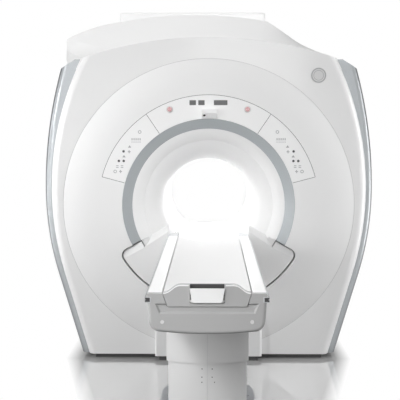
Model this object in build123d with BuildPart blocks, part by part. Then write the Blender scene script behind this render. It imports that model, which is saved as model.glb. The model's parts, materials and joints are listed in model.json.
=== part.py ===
from build123d import *

import os
from math import asin, cos, degrees, radians, sin, sqrt, tan

# Whole-body scanner: a ring-shaped gantry with a round bore, a patient table on a telescoping
# pedestal in front of it, and a dished cradle that slides from the table into the bore.
# Millimetres. +Z is up from the floor, the patient goes in along +Y, X = 0 is the mid plane.
# Depths are measured along +Y from the front plane of the gantry, negative towards the table.

os.makedirs("parts", exist_ok=True)

# Main sizes
iso_height = 1015  # centre line of the bore above the floor
bore_r = 300  # patient bore
surround_r = 950  # domed surround, which the covers are laid out around
magnet_length = 1200
table_reach = 2290  # from the front plane to the face of the table's end cover
rail_drop = 200  # top of the table rails below the bore's centre line
lift_travel = 200

# Running and seating clearances
seat_gap = 0.3  # between pieces that are fixed together
glide_gap = 0.5  # between pieces that slide on each other
seam_gap = 2.5  # open seams between the covers
pin_gap = 0.05

# Gantry outline in front elevation; its corners are level with the top of the surround
belt_height = 1113  # level where the covers are widest
cover_margin = 80  # beside the surround, at the belt
cover_upper_r = 1900
cover_lower_r = 1911
flank_lean = 16.7
cover_foot = 30
cover_arch = 136  # crest of the front cover above its corners
cover_wall = 20
cover_edge_r = 48
return_drop = 65  # the side returns of the front cover end this far below its corners
return_lip = 110  # width of the shelf that closes each return at its top
body_start = 300  # depth where the hood and side panels begin
rear_room = 210  # from the magnet's rear face to the back of the gantry
rear_cover_depth = 200
rear_edge_r = 40

# Hood outline: boxy shoulder on the left, sloping shoulder on the right. Each point is given by
# its distance in from the covers' greatest half width and its rise above the covers' corners.
body_upper_r = 2925
join_drop = 265  # seam between side panels and hood, below the covers' corners
left_corner_place = (75, 147)
left_slope_place = (218, 208)
left_top_place = (428, 259)
crest_rise = 305
right_top_place = (636, 262)
right_slope_place = (379, 76)
sill_lap = 45  # the panels' bottom lips reach in past the plinth
service_left_lap = 28  # the service box reaches past the flat of the hood
service_right_lap = 6
service_rise = 365  # its top above the covers' corners
service_height = 130
service_lead = 200  # from its front to the middle of the cold head
service_length = 600
service_wall = 12
service_edge_r = 14

# Side trims
trim_width = 45
trim_upper_r = 2925
trim_top_drop = 5  # below the covers' corners
trim_front = 45
trim_flat = 4  # flat strip that the rolled edge leaves beside the front cover
trim_slant_run = 170
trim_slant_rise = 105

# Bore surround, control band and bore ring
surround_flange = 15
band_inner_r = 561
band_outer_r = 715
band_front = -30
dome_flat_r = 740
dome_wall = 9
band_thickness = 50
panel_thickness = 14
band_end = 15
divider_angle = 55.7
ring_inner_r = 497
ring_outer_r = 560
ring_lip = -4
ring_back = 10
ring_end = -27.5

# Front funnel, apron and dock panel
funnel_depth = 200
bell_r = 421
bell_start = 44
bead_r = 425
bead_start = 38
bead_mid = (459, 9)
funnel_wall = 8
funnel_flange_r = 540
apron_angle = -28
apron_front = -5
apron_side_gap = 0.2  # degrees
bevel_width = 45
bevel_depth = 40
dock_r = 652
dock_gap = 10
dock_angle = -28.5
dock_side_gap = 0.7  # degrees
dock_step_angle = -33.5
dock_step_slack = 1  # degrees
dock_front = -8
dock_thickness = 26
dock_corner_r = 42
dock_step_r = 500

# Bore lining and magnet
liner_wall = 6
rear_mouth_r = 431.5
rear_funnel_depth = 160
light_angles = (40, 46)
light_thickness = 3
light_margin = 60
coil_gap = 0.3
body_coil_wall = 14
body_coil_inset = 250  # from each end of the magnet
rung_count = 16
rung_window = 9
window_margin = 60
magnet_start = 310
magnet_margin = 70  # inside the radius of the surround
warm_bore_r = 450
warm_bore_wall = 6
vessel_wall = 12
helium_inset = 50
helium_margin = 65  # inside the vacuum vessel
helium_inner_r = 490
helium_wall = 8
former_wall = 16
winding_r = 560
winding_length = 90
winding_inset = 105  # from each end of the helium vessel
winding_count = 6
strut_r = 12
strut_count = 4
strut_angle = 45
cold_head_x = -300
cold_head_set_back = 590  # from the magnet's front face
cold_head_r = 90
cold_head_clear = 140  # under the top of the service box
cold_flange_r = 130
cold_flange = 30
foot_x = 450
foot_inset = 150  # from each end of the magnet
foot_width = 140
foot_length = 200
foot_flange_width = 330
foot_flange = 25
foot_shift = 55
anchor_x = 560
anchor_hole_r = 11
plinth_margin = 295  # outside the middle of the magnet's feet
plinth_front = 40
plinth_wall = 20

# Controls on the band
key_r = 8
key_gap = 0.3
key_proud = 2
key_travel = 1.5
key_spots = ((32.5, 652), (26.4, 648), (27.7, 620))
stop_angle = 68
stop_ring_r = 670
stop_cap_r = 16
stop_cap = 9
stop_margin = 2
stop_travel = 3
stop_stem_r = 7
bezel_r = 22
bezel_inner_r = 17.2
bezel_height = 4
window_top = 680
window_height = 32
window_sink = 2.5
window_proud = 0.5
window_spans = ((-123, -81), (-66, -25), (34, 122))
laser_left = -45
laser_right = 53
laser_top = 625
laser_low = 566
laser_shoulder = 597
laser_reach = 46
laser_chin = 16
laser_edge_r = 4
lens_x = -27
lens_r = 9
lens_length = 10
lens_edge_r = 1.5
badge_angle = 49.8
badge_margin = 150  # from the surround to the middle of the disc
badge_r = 50
badge_thickness = 4

# Table; each drop is measured down from the top of its rails
table_half = 260
end_cover_thickness = 35
end_edge_r = 16
table_side_drop = 38
table_low_half = 250
table_low_drop = 163
table_mid_drop = 180
table_corner_r = 48
pan_inset = 6
pan_wall = 12
deck_thickness = 12
table_gap = 15  # between the table's inner end and the gantry front plane
cradle_half = 192.5
cradle_wall = 16
cradle_dish = 37
cradle_skid_x = 110
cradle_skid_width = 24
cradle_skid = 5
cradle_head_r = 60
cradle_side_gap = 5
rail_edge_r = 6
slot_rail_in = 243
slot_rail_out = 270
slot_rail_low_drop = 38
slot_rail_high_drop = 15
slot_rail_inner_gap = 60
slot_rail_proud = 2
slot_mouth = 6
slot_lip = 6
slot_cavity = 13
slot_back = 8
screw_x = 195
screw_drop = 124
screw_cap_r = 8.5
screw_cap_depth = 4
screw_proud = 1
recess_low_drop = 88
recess_low_half = 208
recess_top_drop = 43
recess_top_half = 227
recess_sink = 8
recess_bevel = 45  # degrees

# Cradle end cap and release handle
cap_low_half = 172
cap_low_drop = 56.5
cap_side_rise = 6
cap_crest_rise = 40
cap_crest_half = 111
cap_gap = 2.5
cap_overrun = 1  # the cap reaches behind the end cover by this much
cap_edge_r = 4
pocket_half = 75.5
pocket_depth = 22
pocket_floor_drop = 41.5
handle_half = 76
handle_low_half = 66
handle_foot_gap = 3.5  # above the floor of the pocket
handle_height = 61.5
handle_thickness = 11
handle_stand = 1
handle_corner_r = 14
rib_count = 4
rib_pitch = 11
rib_width = 4
rib_sink = 1.5
rib_half = 58
rib_low_rise = 11  # above the foot of the handle
pivot_rise = 5
pivot_set_back = 6
pivot_r = 3
lug_x = 66
lug_width = 12
lug_r = 5
trunnion_end = 83

# Pedestal
pedestal_front = -1850
pedestal_rear = -950
lower_half = 190
lower_clear = 5  # under the pan when the table is down
upper_half = 198.5
cover_lap = 31  # the upper covers reach down over the lower ones
pedestal_bow = 69
pedestal_corner_r = 45
pedestal_wall = 6
cover_seam = 0.8
base_half = 260
base_front = -1900
base_rear = -764
base_thickness = 20
base_cut_x = 23
base_cut_y = 107
base_corner_r = 60
base_hole_x = 225
base_hole_depths = (-1700, -1000)
base_hole_r = 7
column_half = 75
column_front = -1500
column_rear = -1200
column_wall = 8
column_foot_clear = 20
duct_half = 100
duct_height = 28
duct_wall = 4
block_half = 348
block_front = -70
block_low = 30
block_edge_r = 16
block_wall = 12
block_foot_half = 320
block_foot_front = -55
block_foot_rear = -12

# Levels and places that follow from the sizes above
cover_half = surround_r + cover_margin
cover_corner_z = iso_height + surround_r
cover_apex_z = cover_corner_z + cover_arch
return_top_z = cover_corner_z - return_drop
join_height = cover_corner_z - join_drop
trim_half = cover_half + trim_width
trim_lower_r = cover_lower_r + trim_width
trim_top_z = cover_corner_z - trim_top_drop
trim_edge_r = trim_width - trim_flat
magnet_end = magnet_start + magnet_length
magnet_outer_r = surround_r - magnet_margin
plinth_half = foot_x + plinth_margin
sill_reach = plinth_half - sill_lap
gantry_depth = magnet_end + rear_room
overall_length = gantry_depth + table_reach + handle_stand + handle_thickness
front_y = overall_length / 2 - gantry_depth
cold_head_depth = magnet_start + cold_head_set_back
service_depth = cold_head_depth - service_lead
service_top_z = cover_corner_z + service_rise
service_base_z = service_top_z - service_height
cold_head_top = service_top_z - cold_head_clear
key_length = panel_thickness + key_proud - 2 * key_travel
stop_clear = stop_travel + stop_margin
stop_stem_end = band_front + panel_thickness - stop_travel
rail_top = iso_height - rail_drop
table_side_z = rail_top - table_side_drop
table_low_z = rail_top - table_low_drop
table_mid_z = rail_top - table_mid_drop
slot_rail_low = rail_top - slot_rail_low_drop
slot_rail_high = rail_top - slot_rail_high_drop
screw_z = rail_top - screw_drop
recess_low_z = rail_top - recess_low_drop
recess_top_z = rail_top - recess_top_drop
cap_low_z = rail_top - cap_low_drop
cap_crest = rail_top + cap_crest_rise
pocket_floor = rail_top - pocket_floor_drop
handle_low = pocket_floor + handle_foot_gap
handle_high = handle_low + handle_height
rib_low = handle_low + rib_low_rise
pivot_z = handle_low + pivot_rise
track_top = rail_top - cradle_dish - cradle_wall - cradle_skid - glide_gap
track_rel = track_top - iso_height
rail_inner = cradle_half + cradle_side_gap
channel_half = table_half + seam_gap
rear_depth = gantry_depth - rear_cover_depth
liner_end = gantry_depth - rear_funnel_depth
inner_end = -table_gap
end_back = end_cover_thickness - table_reach
cap_thickness = end_cover_thickness + cap_overrun
pan_low_z = table_mid_z + pan_inset
lower_top_z = pan_low_z - lift_travel - lower_clear
upper_low_z = lower_top_z - cover_lap
column_inner_low = base_thickness + lift_travel + column_foot_clear
block_top = iso_height - dock_r - dock_gap


def elevation(depth):
    """Plane parallel to the front, drawn with X to the right and Z up from the floor."""
    return Plane(origin=(0, front_y + depth, 0), x_dir=(1, 0, 0), z_dir=(0, -1, 0))


def bore_elevation(depth):
    """The same plane with its origin on the centre line of the bore."""
    return Plane(origin=(0, front_y + depth, iso_height), x_dir=(1, 0, 0), z_dir=(0, -1, 0))


bore_section = Plane(origin=(0, front_y, iso_height), x_dir=(1, 0, 0), z_dir=(0, 0, 1))
bore_axis = Axis((0, front_y, iso_height), (0, 1, 0))


def polar(radius, angle):
    """Point at a radius and angle about the centre line, seen from the front."""
    return (radius * cos(radians(angle)), radius * sin(radians(angle)))


def shoulder(side, place):
    """Point of the hood's outline on the right (1) or left (-1), from its inset and rise."""
    inset, rise = place
    return (side * (cover_half - inset), cover_corner_z + rise)


def save(piece, name):
    """Label a finished piece and write it."""
    piece.part.label = name
    export_step(piece.part, f"parts/{name}.step")


def mirrored(piece):
    """The left-hand twin of a right-hand piece."""
    with BuildPart() as twin:
        mirror(piece.part, about=Plane.YZ)
    return twin


def ring_sector(inner_r, outer_r, start, end):
    """Part of a flat ring between two angles, about the centre line."""
    with BuildSketch() as shape:
        with BuildLine():
            outer = CenterArc((0, 0), outer_r, start, end - start)
            inner = CenterArc((0, 0), inner_r, start, end - start)
            Line(outer @ 0, inner @ 0)
            Line(outer @ 1, inner @ 1)
        make_face()
    return shape.sketch


def lower_sector(radius, angle):
    """Sector under the bore between an angle on the right and its mirror image on the left."""
    with BuildSketch() as shape:
        with BuildLine():
            sweep_arc = CenterArc((0, 0), radius, angle, -180 - 2 * angle)
            Line((0, 0), sweep_arc @ 0)
            Line((0, 0), sweep_arc @ 1)
        make_face()
    return shape.sketch


def bowed_outline(half_width, upper_r, lower_r, corner_z, apex_z):
    """Front elevation with bowed sides, straight lower flanks and an arched top."""
    rise = degrees(asin((corner_z - belt_height) / upper_r))
    corner_x = half_width - upper_r * (1 - cos(radians(rise)))
    arch_sag = apex_z - corner_z
    arch_r = (corner_x**2 + arch_sag**2) / (2 * arch_sag)
    spread = degrees(asin(corner_x / arch_r))
    with BuildSketch() as shape:
        with BuildLine():
            CenterArc((half_width - upper_r, belt_height), upper_r, 0, rise)
            lower = CenterArc((half_width - lower_r, belt_height), lower_r, 0, -flank_lean)
            drop = (lower @ 1).Y - cover_foot
            foot = ((lower @ 1).X - drop * tan(radians(flank_lean)), cover_foot)
            Line(lower @ 1, foot)
            Line(foot, (0, cover_foot))
            CenterArc((0, apex_z - arch_r), arch_r, 90 - spread, spread)
            mirror(about=Plane.YZ)
        make_face()
    return shape.sketch


def side_x(half_width, upper_r, height):
    """Half width of a bowed side at a height above its widest level."""
    return half_width - upper_r + sqrt(upper_r**2 - (height - belt_height) ** 2)


def trim_outline(clear):
    """Outer line of both trims in front elevation, with slanted ends, widened by a clearance."""
    slant_x = side_x(trim_half, trim_upper_r, return_top_z)
    slant_low = return_top_z + clear
    slant_high = slant_low + trim_slant_rise
    with BuildSketch() as shape:
        add(
            bowed_outline(
                trim_half + clear,
                trim_upper_r + clear,
                trim_lower_r + clear,
                trim_top_z + clear,
                trim_top_z + clear + seat_gap,
            )
        )
        for side in (-1, 1):
            with BuildLine():
                Polyline(
                    (side * slant_x, slant_low),
                    (side * (slant_x - trim_slant_run), slant_high),
                    (side * (slant_x + trim_slant_run), slant_high),
                    (side * (slant_x + trim_slant_run), slant_low),
                    close=True,
                )
            make_face(mode=Mode.SUBTRACT)
    return shape.sketch


cover_outline = bowed_outline(
    cover_half, cover_upper_r, cover_lower_r, cover_corner_z, cover_apex_z
)
join_x = side_x(cover_half, body_upper_r, join_height)
hood_left_corner = shoulder(-1, left_corner_place)
hood_left_slope = shoulder(-1, left_slope_place)
hood_left_top = shoulder(-1, left_top_place)
hood_crest = (0, cover_corner_z + crest_rise)
hood_right_top = shoulder(1, right_top_place)
hood_right_slope = shoulder(1, right_slope_place)

with BuildSketch() as body_sketch:
    body_rise = degrees(asin((join_height - belt_height) / body_upper_r))
    with BuildLine():
        flank = CenterArc((cover_half - body_upper_r, belt_height), body_upper_r, 0, body_rise)
        lower_arc = CenterArc(
            (cover_half - cover_lower_r, belt_height), cover_lower_r, 0, -flank_lean
        )
        body_drop = (lower_arc @ 1).Y - cover_foot
        body_foot_x = (lower_arc @ 1).X - body_drop * tan(radians(flank_lean))
        Line(lower_arc @ 1, (body_foot_x, cover_foot))
        mirror(about=Plane.YZ)
        Line((body_foot_x, cover_foot), (-body_foot_x, cover_foot))
        ThreePointArc(flank @ 1, hood_right_slope, hood_right_top)
        ThreePointArc(hood_right_top, hood_crest, hood_left_top)
        ThreePointArc(hood_left_top, hood_left_slope, hood_left_corner)
        Line(hood_left_corner, (-join_x, join_height))
    make_face()
body_outline = body_sketch.sketch


# Front cover: shallow tray with rolled side edges and the large round opening
with BuildPart() as front_cover:
    with BuildSketch(elevation(0)):
        add(cover_outline)
    extrude(amount=-body_start)
    rolled = (
        front_cover.faces()
        .sort_by(Axis.Y)[0]
        .edges()
        .filter_by(lambda edge: abs(edge.center().X) > cover_half / 2)
        .filter_by(lambda edge: edge.center().Z < cover_corner_z)
    )
    fillet(rolled, cover_edge_r)
    with BuildSketch(elevation(cover_wall)):
        add(cover_outline)
        offset(amount=-cover_wall, mode=Mode.REPLACE)
        with Locations((0, (return_top_z + service_top_z) / 2)):
            Rectangle(3 * cover_half, service_top_z - return_top_z)
    extrude(amount=-body_start, mode=Mode.SUBTRACT)
    with BuildSketch(elevation(cover_wall)):
        lip_mid_x = side_x(cover_half, cover_upper_r, return_top_z) - return_lip / 2
        lip_mid_z = return_top_z - cover_wall / 2
        with Locations((lip_mid_x, lip_mid_z), (-lip_mid_x, lip_mid_z)):
            Rectangle(return_lip, cover_wall)
    extrude(amount=cover_wall - body_start)
    with BuildSketch(bore_elevation(0)):
        Circle(surround_r)
    extrude(amount=-cover_wall, mode=Mode.SUBTRACT)
save(front_cover, "front_cover")


# Side trims: silver bands that wrap the front corners, cut on a slant at the top
with BuildPart() as side_trim_right:
    with BuildSketch(elevation(trim_front)):
        add(trim_outline(0))
        with BuildSketch(mode=Mode.PRIVATE) as trim_core:
            add(cover_outline)
            offset(amount=seat_gap, kind=Kind.INTERSECTION, mode=Mode.REPLACE)
        add(trim_core.sketch, mode=Mode.SUBTRACT)
        with Locations((-cover_half, iso_height)):
            Rectangle(2 * cover_half, 3 * iso_height, mode=Mode.SUBTRACT)
    extrude(amount=trim_front - body_start)
    rim = (elevation(trim_front) * trim_outline(0)).face().outer_wire()
    outer_edges = (
        side_trim_right.faces()
        .sort_by(Axis.Y)[0]
        .edges()
        .filter_by(lambda edge: edge.length > 2 * trim_slant_run)
        .filter_by(lambda edge: rim.distance_to(edge @ 0.5) < seat_gap / 2)
    )
    fillet(outer_edges, trim_edge_r)
save(side_trim_right, "side_trim_right")
side_trim_left = mirrored(side_trim_right)
save(side_trim_left, "side_trim_left")


def crown_sections(low_z):
    """Matching outlines at the front cover's top edge and at the hood's front edge."""
    front_low = side_x(cover_half, cover_upper_r, low_z)
    front_corner = side_x(cover_half, cover_upper_r, cover_corner_z)
    sag = cover_apex_z - cover_corner_z
    arch_r = (front_corner**2 + sag**2) / (2 * sag)

    def arch_z(x):
        return cover_apex_z - arch_r + sqrt(arch_r**2 - x**2)

    right_x = hood_right_top[0]
    left_x = hood_left_top[0]
    mid_right = (right_x + front_corner) / 2
    mid_left = (left_x - front_corner) / 2
    with BuildSketch() as front_shape:
        with BuildLine():
            Line((front_low, low_z), (front_corner, cover_corner_z))
            ThreePointArc(
                (front_corner, cover_corner_z),
                (mid_right, arch_z(mid_right)),
                (right_x, arch_z(right_x)),
            )
            ThreePointArc(
                (right_x, arch_z(right_x)), (0, cover_apex_z), (left_x, arch_z(left_x))
            )
            ThreePointArc(
                (left_x, arch_z(left_x)),
                (mid_left, arch_z(mid_left)),
                (-front_corner, cover_corner_z),
            )
            Line((-front_corner, cover_corner_z), (-front_low, low_z))
            Line((-front_low, low_z), (front_low, low_z))
        make_face()
    with BuildSketch() as hood_shape:
        with BuildLine(mode=Mode.PRIVATE) as guide:
            shoulder = ThreePointArc((join_x, join_height), hood_right_slope, hood_right_top)
        low_at = shoulder.find_intersection_points(Axis((0, low_z), (1, 0)))[0]
        corner_at = shoulder.find_intersection_points(Axis((0, cover_corner_z), (1, 0)))[0]
        share = (hood_left_corner[1] - low_z) / (hood_left_corner[1] - join_height)
        left_low = hood_left_corner[0] - share * (join_x + hood_left_corner[0])
        with BuildLine():
            Line(low_at, corner_at)
            ThreePointArc(corner_at, hood_right_slope, hood_right_top)
            ThreePointArc(hood_right_top, hood_crest, hood_left_top)
            ThreePointArc(hood_left_top, hood_left_slope, hood_left_corner)
            Line(hood_left_corner, (left_low, low_z))
            Line((left_low, low_z), low_at)
        make_face()
    return front_shape.sketch, hood_shape.sketch


# Crown: the sloping cover between the front cover's top edge and the hood
with BuildPart() as crown_cover:
    outer_front, outer_back = crown_sections(return_top_z)
    with BuildSketch(elevation(cover_wall)):
        add(outer_front)
    with BuildSketch(elevation(body_start)):
        add(outer_back)
    loft(ruled=True)
    inner_front, inner_back = crown_sections(return_top_z - 2 * cover_wall)
    with BuildSketch(elevation(cover_wall)):
        add(inner_front)
        offset(amount=-cover_wall, kind=Kind.INTERSECTION, mode=Mode.REPLACE)
    with BuildSketch(elevation(body_start)):
        add(inner_back)
        offset(amount=-cover_wall, kind=Kind.INTERSECTION, mode=Mode.REPLACE)
    loft(ruled=True, mode=Mode.SUBTRACT)
    with BuildSketch(elevation(0)):
        add(trim_outline(glide_gap))
        with BuildSketch(mode=Mode.PRIVATE) as kept_core:
            add(cover_outline)
        add(kept_core.sketch, mode=Mode.SUBTRACT)
    extrude(amount=-body_start, mode=Mode.SUBTRACT)
save(crown_cover, "crown_cover")


# Body shell behind the trims, parted into a hood and two side panels
with BuildPart() as body_shell:
    with BuildSketch(elevation(body_start)):
        add(body_outline)
        offset(amount=-cover_wall, kind=Kind.INTERSECTION, mode=Mode.SUBTRACT)
        with Locations((0, cover_foot)):
            Rectangle(2 * sill_reach, 4 * cover_wall, mode=Mode.SUBTRACT)
    extrude(amount=body_start - rear_depth)

join_plane = Plane.XY.offset(join_height)
with BuildPart() as hood:
    add(body_shell.part)
    split(bisect_by=join_plane, keep=Keep.TOP)
save(hood, "hood")

with BuildPart() as side_panel_right:
    add(body_shell.part)
    split(bisect_by=join_plane, keep=Keep.BOTTOM)
    split(bisect_by=Plane.YZ, keep=Keep.TOP)
save(side_panel_right, "side_panel_right")

with BuildPart() as side_panel_left:
    add(body_shell.part)
    split(bisect_by=join_plane, keep=Keep.BOTTOM)
    split(bisect_by=Plane.YZ, keep=Keep.BOTTOM)
save(side_panel_left, "side_panel_left")


def trumpet_radius(run, depth):
    """Radius of the arc that leaves a tube along its axis and flares by a run within a depth."""
    return (run**2 + depth**2) / (2 * run)


rear_bell_r = trumpet_radius(rear_mouth_r - bore_r, rear_funnel_depth)
rear_sweep = degrees(asin(rear_funnel_depth / rear_bell_r))
rear_rim_r = bore_r + rear_bell_r - (rear_bell_r - funnel_wall) * cos(radians(rear_sweep))


# Rear cover: closed tray with a round opening
with BuildPart() as rear_cover:
    with BuildSketch(elevation(rear_depth)):
        add(body_outline)
    extrude(amount=-rear_cover_depth)
    rear_edges = rear_cover.faces().sort_by(Axis.Y)[-1].edges()
    chamfer(rear_edges, rear_edge_r)
    with BuildSketch(elevation(rear_depth)):
        add(body_outline)
        offset(amount=-rear_edge_r, kind=Kind.INTERSECTION, mode=Mode.REPLACE)
    extrude(amount=cover_wall - rear_cover_depth, mode=Mode.SUBTRACT)
    with BuildSketch(bore_elevation(gantry_depth)):
        Circle(rear_rim_r + seat_gap)
    extrude(amount=2 * cover_wall, mode=Mode.SUBTRACT)
save(rear_cover, "rear_cover")


# Service box over the turret of the magnet
with BuildPart() as service_box:
    service_left = hood_left_top[0] - service_left_lap
    service_right = hood_right_top[0] + service_right_lap
    service_mid = (service_left + service_right) / 2
    service_width = service_right - service_left
    with BuildSketch(elevation(service_depth)):
        with Locations((service_mid, (service_top_z + service_base_z) / 2)):
            Rectangle(service_width, service_height)
    extrude(amount=-service_length)
    upright = service_box.edges().filter_by(Axis.Z)
    top_edges = service_box.faces().sort_by(Axis.Z)[-1].edges()
    fillet(upright + top_edges, service_edge_r)
    with BuildSketch(elevation(service_depth + service_wall)):
        with Locations((service_mid, (service_top_z + service_base_z) / 2 - service_wall)):
            Rectangle(service_width - 2 * service_wall, service_height)
    extrude(amount=2 * service_wall - service_length, mode=Mode.SUBTRACT)
    with BuildSketch(elevation(service_depth)):
        add(body_outline)
        offset(amount=seat_gap, kind=Kind.INTERSECTION, mode=Mode.REPLACE)
    extrude(amount=-service_length, mode=Mode.SUBTRACT)
save(service_box, "service_box")


# Plinth: dark recessed frame that carries the covers on the floor
with BuildPart() as plinth:
    plinth_length = gantry_depth - 2 * plinth_front
    plinth_mid = (0, front_y + gantry_depth / 2)
    with BuildSketch(Plane.XY):
        with Locations(plinth_mid):
            Rectangle(2 * plinth_half, plinth_length)
            Rectangle(
                2 * (plinth_half - plinth_wall),
                plinth_length - 2 * plinth_wall,
                mode=Mode.SUBTRACT,
            )
    extrude(amount=cover_foot)
save(plinth, "plinth")


# Domed surround: flat control band next to the ring, then a curve back to the cover
with BuildPart() as bore_surround:
    dome_run = surround_r - seam_gap - dome_flat_r
    dome_drop = -band_front
    dome_r = (dome_run**2 + dome_drop**2) / (2 * dome_drop)
    dome_sweep = degrees(asin(dome_run / dome_r))
    inner_dome_r = dome_r - dome_wall
    inner_sweep = degrees(asin((dome_run - dome_wall) / inner_dome_r))
    with BuildSketch(bore_section):
        with BuildLine():
            Line((band_inner_r, band_front), (dome_flat_r, band_front))
            face_arc = CenterArc((dome_flat_r, band_front + dome_r), dome_r, -90, dome_sweep)
            flange_front = cover_wall + seat_gap
            rim_r = (face_arc @ 1).X
            Line(face_arc @ 1, (rim_r, flange_front))
            Line((rim_r, flange_front), (rim_r + surround_flange, flange_front))
            Line(
                (rim_r + surround_flange, flange_front),
                (rim_r + surround_flange, flange_front + dome_wall),
            )
            back_arc = CenterArc(
                (dome_flat_r, band_front + dome_r), inner_dome_r, -90, inner_sweep
            )
            Line(
                (rim_r + surround_flange, flange_front + dome_wall),
                ((back_arc @ 1).X, flange_front + dome_wall),
            )
            Line(((back_arc @ 1).X, flange_front + dome_wall), back_arc @ 1)
            Line(back_arc @ 0, (dome_flat_r, band_front + band_thickness))
            Line(
                (dome_flat_r, band_front + band_thickness),
                (band_inner_r, band_front + band_thickness),
            )
            Line((band_inner_r, band_front + band_thickness), (band_inner_r, band_front))
        make_face()
    revolve(axis=bore_axis)
    with BuildSketch(bore_elevation(2 * band_front)):
        add(ring_sector(ring_inner_r, band_outer_r, band_end, 180 - band_end))
    extrude(amount=band_front - panel_thickness - seat_gap, mode=Mode.SUBTRACT)
    with BuildSketch(bore_elevation(2 * band_front)):
        add(lower_sector(dock_r + dock_gap, dock_angle + dock_side_gap))
        fillet(vertices().group_by(SortBy.DISTANCE)[-1], dock_corner_r + dock_gap)
        with BuildSketch(mode=Mode.PRIVATE) as ring_gap:
            add(lower_sector(dock_step_r + bevel_width, ring_end))
        add(ring_gap.sketch)
    extrude(amount=-funnel_depth, mode=Mode.SUBTRACT)
save(bore_surround, "bore_surround")


def band_panel(start, end):
    """Blank of a control panel on the band, inside its open seams."""
    seam_angle = degrees(seam_gap / 2 / band_outer_r)
    with BuildSketch() as shape:
        add(
            ring_sector(
                band_inner_r + seat_gap,
                band_outer_r - seam_gap / 2,
                start + seam_angle,
                end - seam_angle,
            )
        )
    return shape.sketch


# Display panel between the keypads, with pockets for the windows and holes for the stop buttons
stop_spots = [polar(stop_ring_r, stop_angle), polar(stop_ring_r, 180 - stop_angle)]
with BuildPart() as display_panel:
    with BuildSketch(bore_elevation(band_front)):
        add(band_panel(divider_angle, 180 - divider_angle))
        with Locations(stop_spots):
            Circle(stop_stem_r + key_gap, mode=Mode.SUBTRACT)
    extrude(amount=-panel_thickness)
    with BuildSketch(bore_elevation(band_front)):
        for left, right in window_spans:
            with Locations(((left + right) / 2, window_top - window_height / 2)):
                Rectangle(right - left, window_height)
    extrude(amount=-window_sink, mode=Mode.SUBTRACT)
save(display_panel, "display_panel")

with BuildPart() as display_windows:
    for left, right in window_spans:
        with BuildSketch(bore_elevation(band_front + window_sink)):
            with Locations(((left + right) / 2, window_top - window_height / 2)):
                Rectangle(right - left - 2 * seat_gap, window_height - 2 * seat_gap)
        extrude(amount=window_sink + window_proud)
    fillet(display_windows.faces().group_by(Axis.Y)[0].edges(), window_proud / 2)
save(display_windows, "display_windows")


# Keypads with three keys each, on both sides of the display panel
key_centres = [polar(radius, angle) for angle, radius in key_spots]
with BuildPart() as keypad_right:
    with BuildSketch(bore_elevation(band_front)):
        add(band_panel(band_end, divider_angle))
        with Locations(key_centres):
            Circle(key_r + key_gap, mode=Mode.SUBTRACT)
    extrude(amount=-panel_thickness)
save(keypad_right, "keypad_right")
keypad_left = mirrored(keypad_right)
save(keypad_left, "keypad_left")

for number, centre in enumerate(key_centres, start=1):
    with BuildPart() as key:
        with BuildSketch(bore_elevation(band_front - key_proud)):
            with Locations(centre):
                Circle(key_r)
        extrude(amount=-key_length)
        fillet(key.faces().sort_by(Axis.Y)[0].edges(), key_proud / 2)
    save(key, f"key_right_{number}")
    save(mirrored(key), f"key_left_{number}")


# Stop buttons: mushroom caps on stems, inside raised bezels
with BuildPart() as stop_button_right:
    cap_front = band_front - stop_clear - stop_cap
    with BuildSketch(bore_elevation(cap_front)):
        with Locations(stop_spots[0]):
            Circle(stop_cap_r)
    extrude(amount=-stop_cap)
    fillet(stop_button_right.faces().sort_by(Axis.Y)[0].edges(), stop_cap / 2)
    with BuildSketch(bore_elevation(band_front - stop_clear)):
        with Locations(stop_spots[0]):
            Circle(stop_stem_r)
    extrude(amount=band_front - stop_clear - stop_stem_end)
save(stop_button_right, "stop_button_right")
stop_button_left = mirrored(stop_button_right)
save(stop_button_left, "stop_button_left")

with BuildPart() as stop_bezels:
    with BuildSketch(bore_elevation(band_front)):
        with Locations(stop_spots):
            Circle(bezel_r)
            Circle(bezel_inner_r, mode=Mode.SUBTRACT)
    extrude(amount=bezel_height)
    bezel_rims = stop_bezels.faces().group_by(Axis.Y)[0].edges()
    fillet(bezel_rims.group_by(SortBy.RADIUS)[-1], bezel_height / 2)
save(stop_bezels, "stop_bezels")


# Alignment light housing: a hood over the ring with a slanted chin that holds the lens
laser_plane = Plane(
    origin=(laser_left, front_y + band_front, iso_height), x_dir=(0, 1, 0), z_dir=(1, 0, 0)
)
with BuildPart() as laser_housing:
    with BuildSketch(laser_plane):
        with BuildLine():
            Polyline(
                (0, laser_top),
                (-laser_reach, laser_top),
                (-laser_reach, laser_shoulder),
                (-laser_chin, laser_low),
                (0, laser_low),
                close=True,
            )
        make_face()
    extrude(amount=laser_right - laser_left)
    fillet(laser_housing.faces().sort_by(Axis.Y)[0].edges(), laser_edge_r)
    chin_mid = ((laser_reach + laser_chin) / 2, (laser_shoulder + laser_low) / 2)
    chin_run = laser_reach - laser_chin
    chin_drop = laser_shoulder - laser_low
    chin_plane = Plane(
        origin=(lens_x, front_y + band_front - chin_mid[0], iso_height + chin_mid[1]),
        x_dir=(1, 0, 0),
        z_dir=(0, -chin_drop, -chin_run),
    )
    with BuildSketch(chin_plane):
        Circle(lens_r + seat_gap)
    extrude(amount=-lens_length, mode=Mode.SUBTRACT)
save(laser_housing, "laser_housing")

with BuildPart() as laser_lens:
    with BuildSketch(chin_plane.offset(-lens_length)):
        Circle(lens_r)
    extrude(amount=lens_length - seat_gap)
    fillet(laser_lens.edges().filter_by(GeomType.CIRCLE), lens_edge_r)
save(laser_lens, "laser_lens")


# Plain round disc on the front cover
with BuildPart() as badge_disc:
    with BuildSketch(bore_elevation(0)):
        with Locations(polar(surround_r + badge_margin, badge_angle)):
            Circle(badge_r)
    extrude(amount=badge_thickness)
    fillet(badge_disc.faces().sort_by(Axis.Y)[0].edges(), badge_thickness / 2)
save(badge_disc, "badge_disc")


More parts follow.
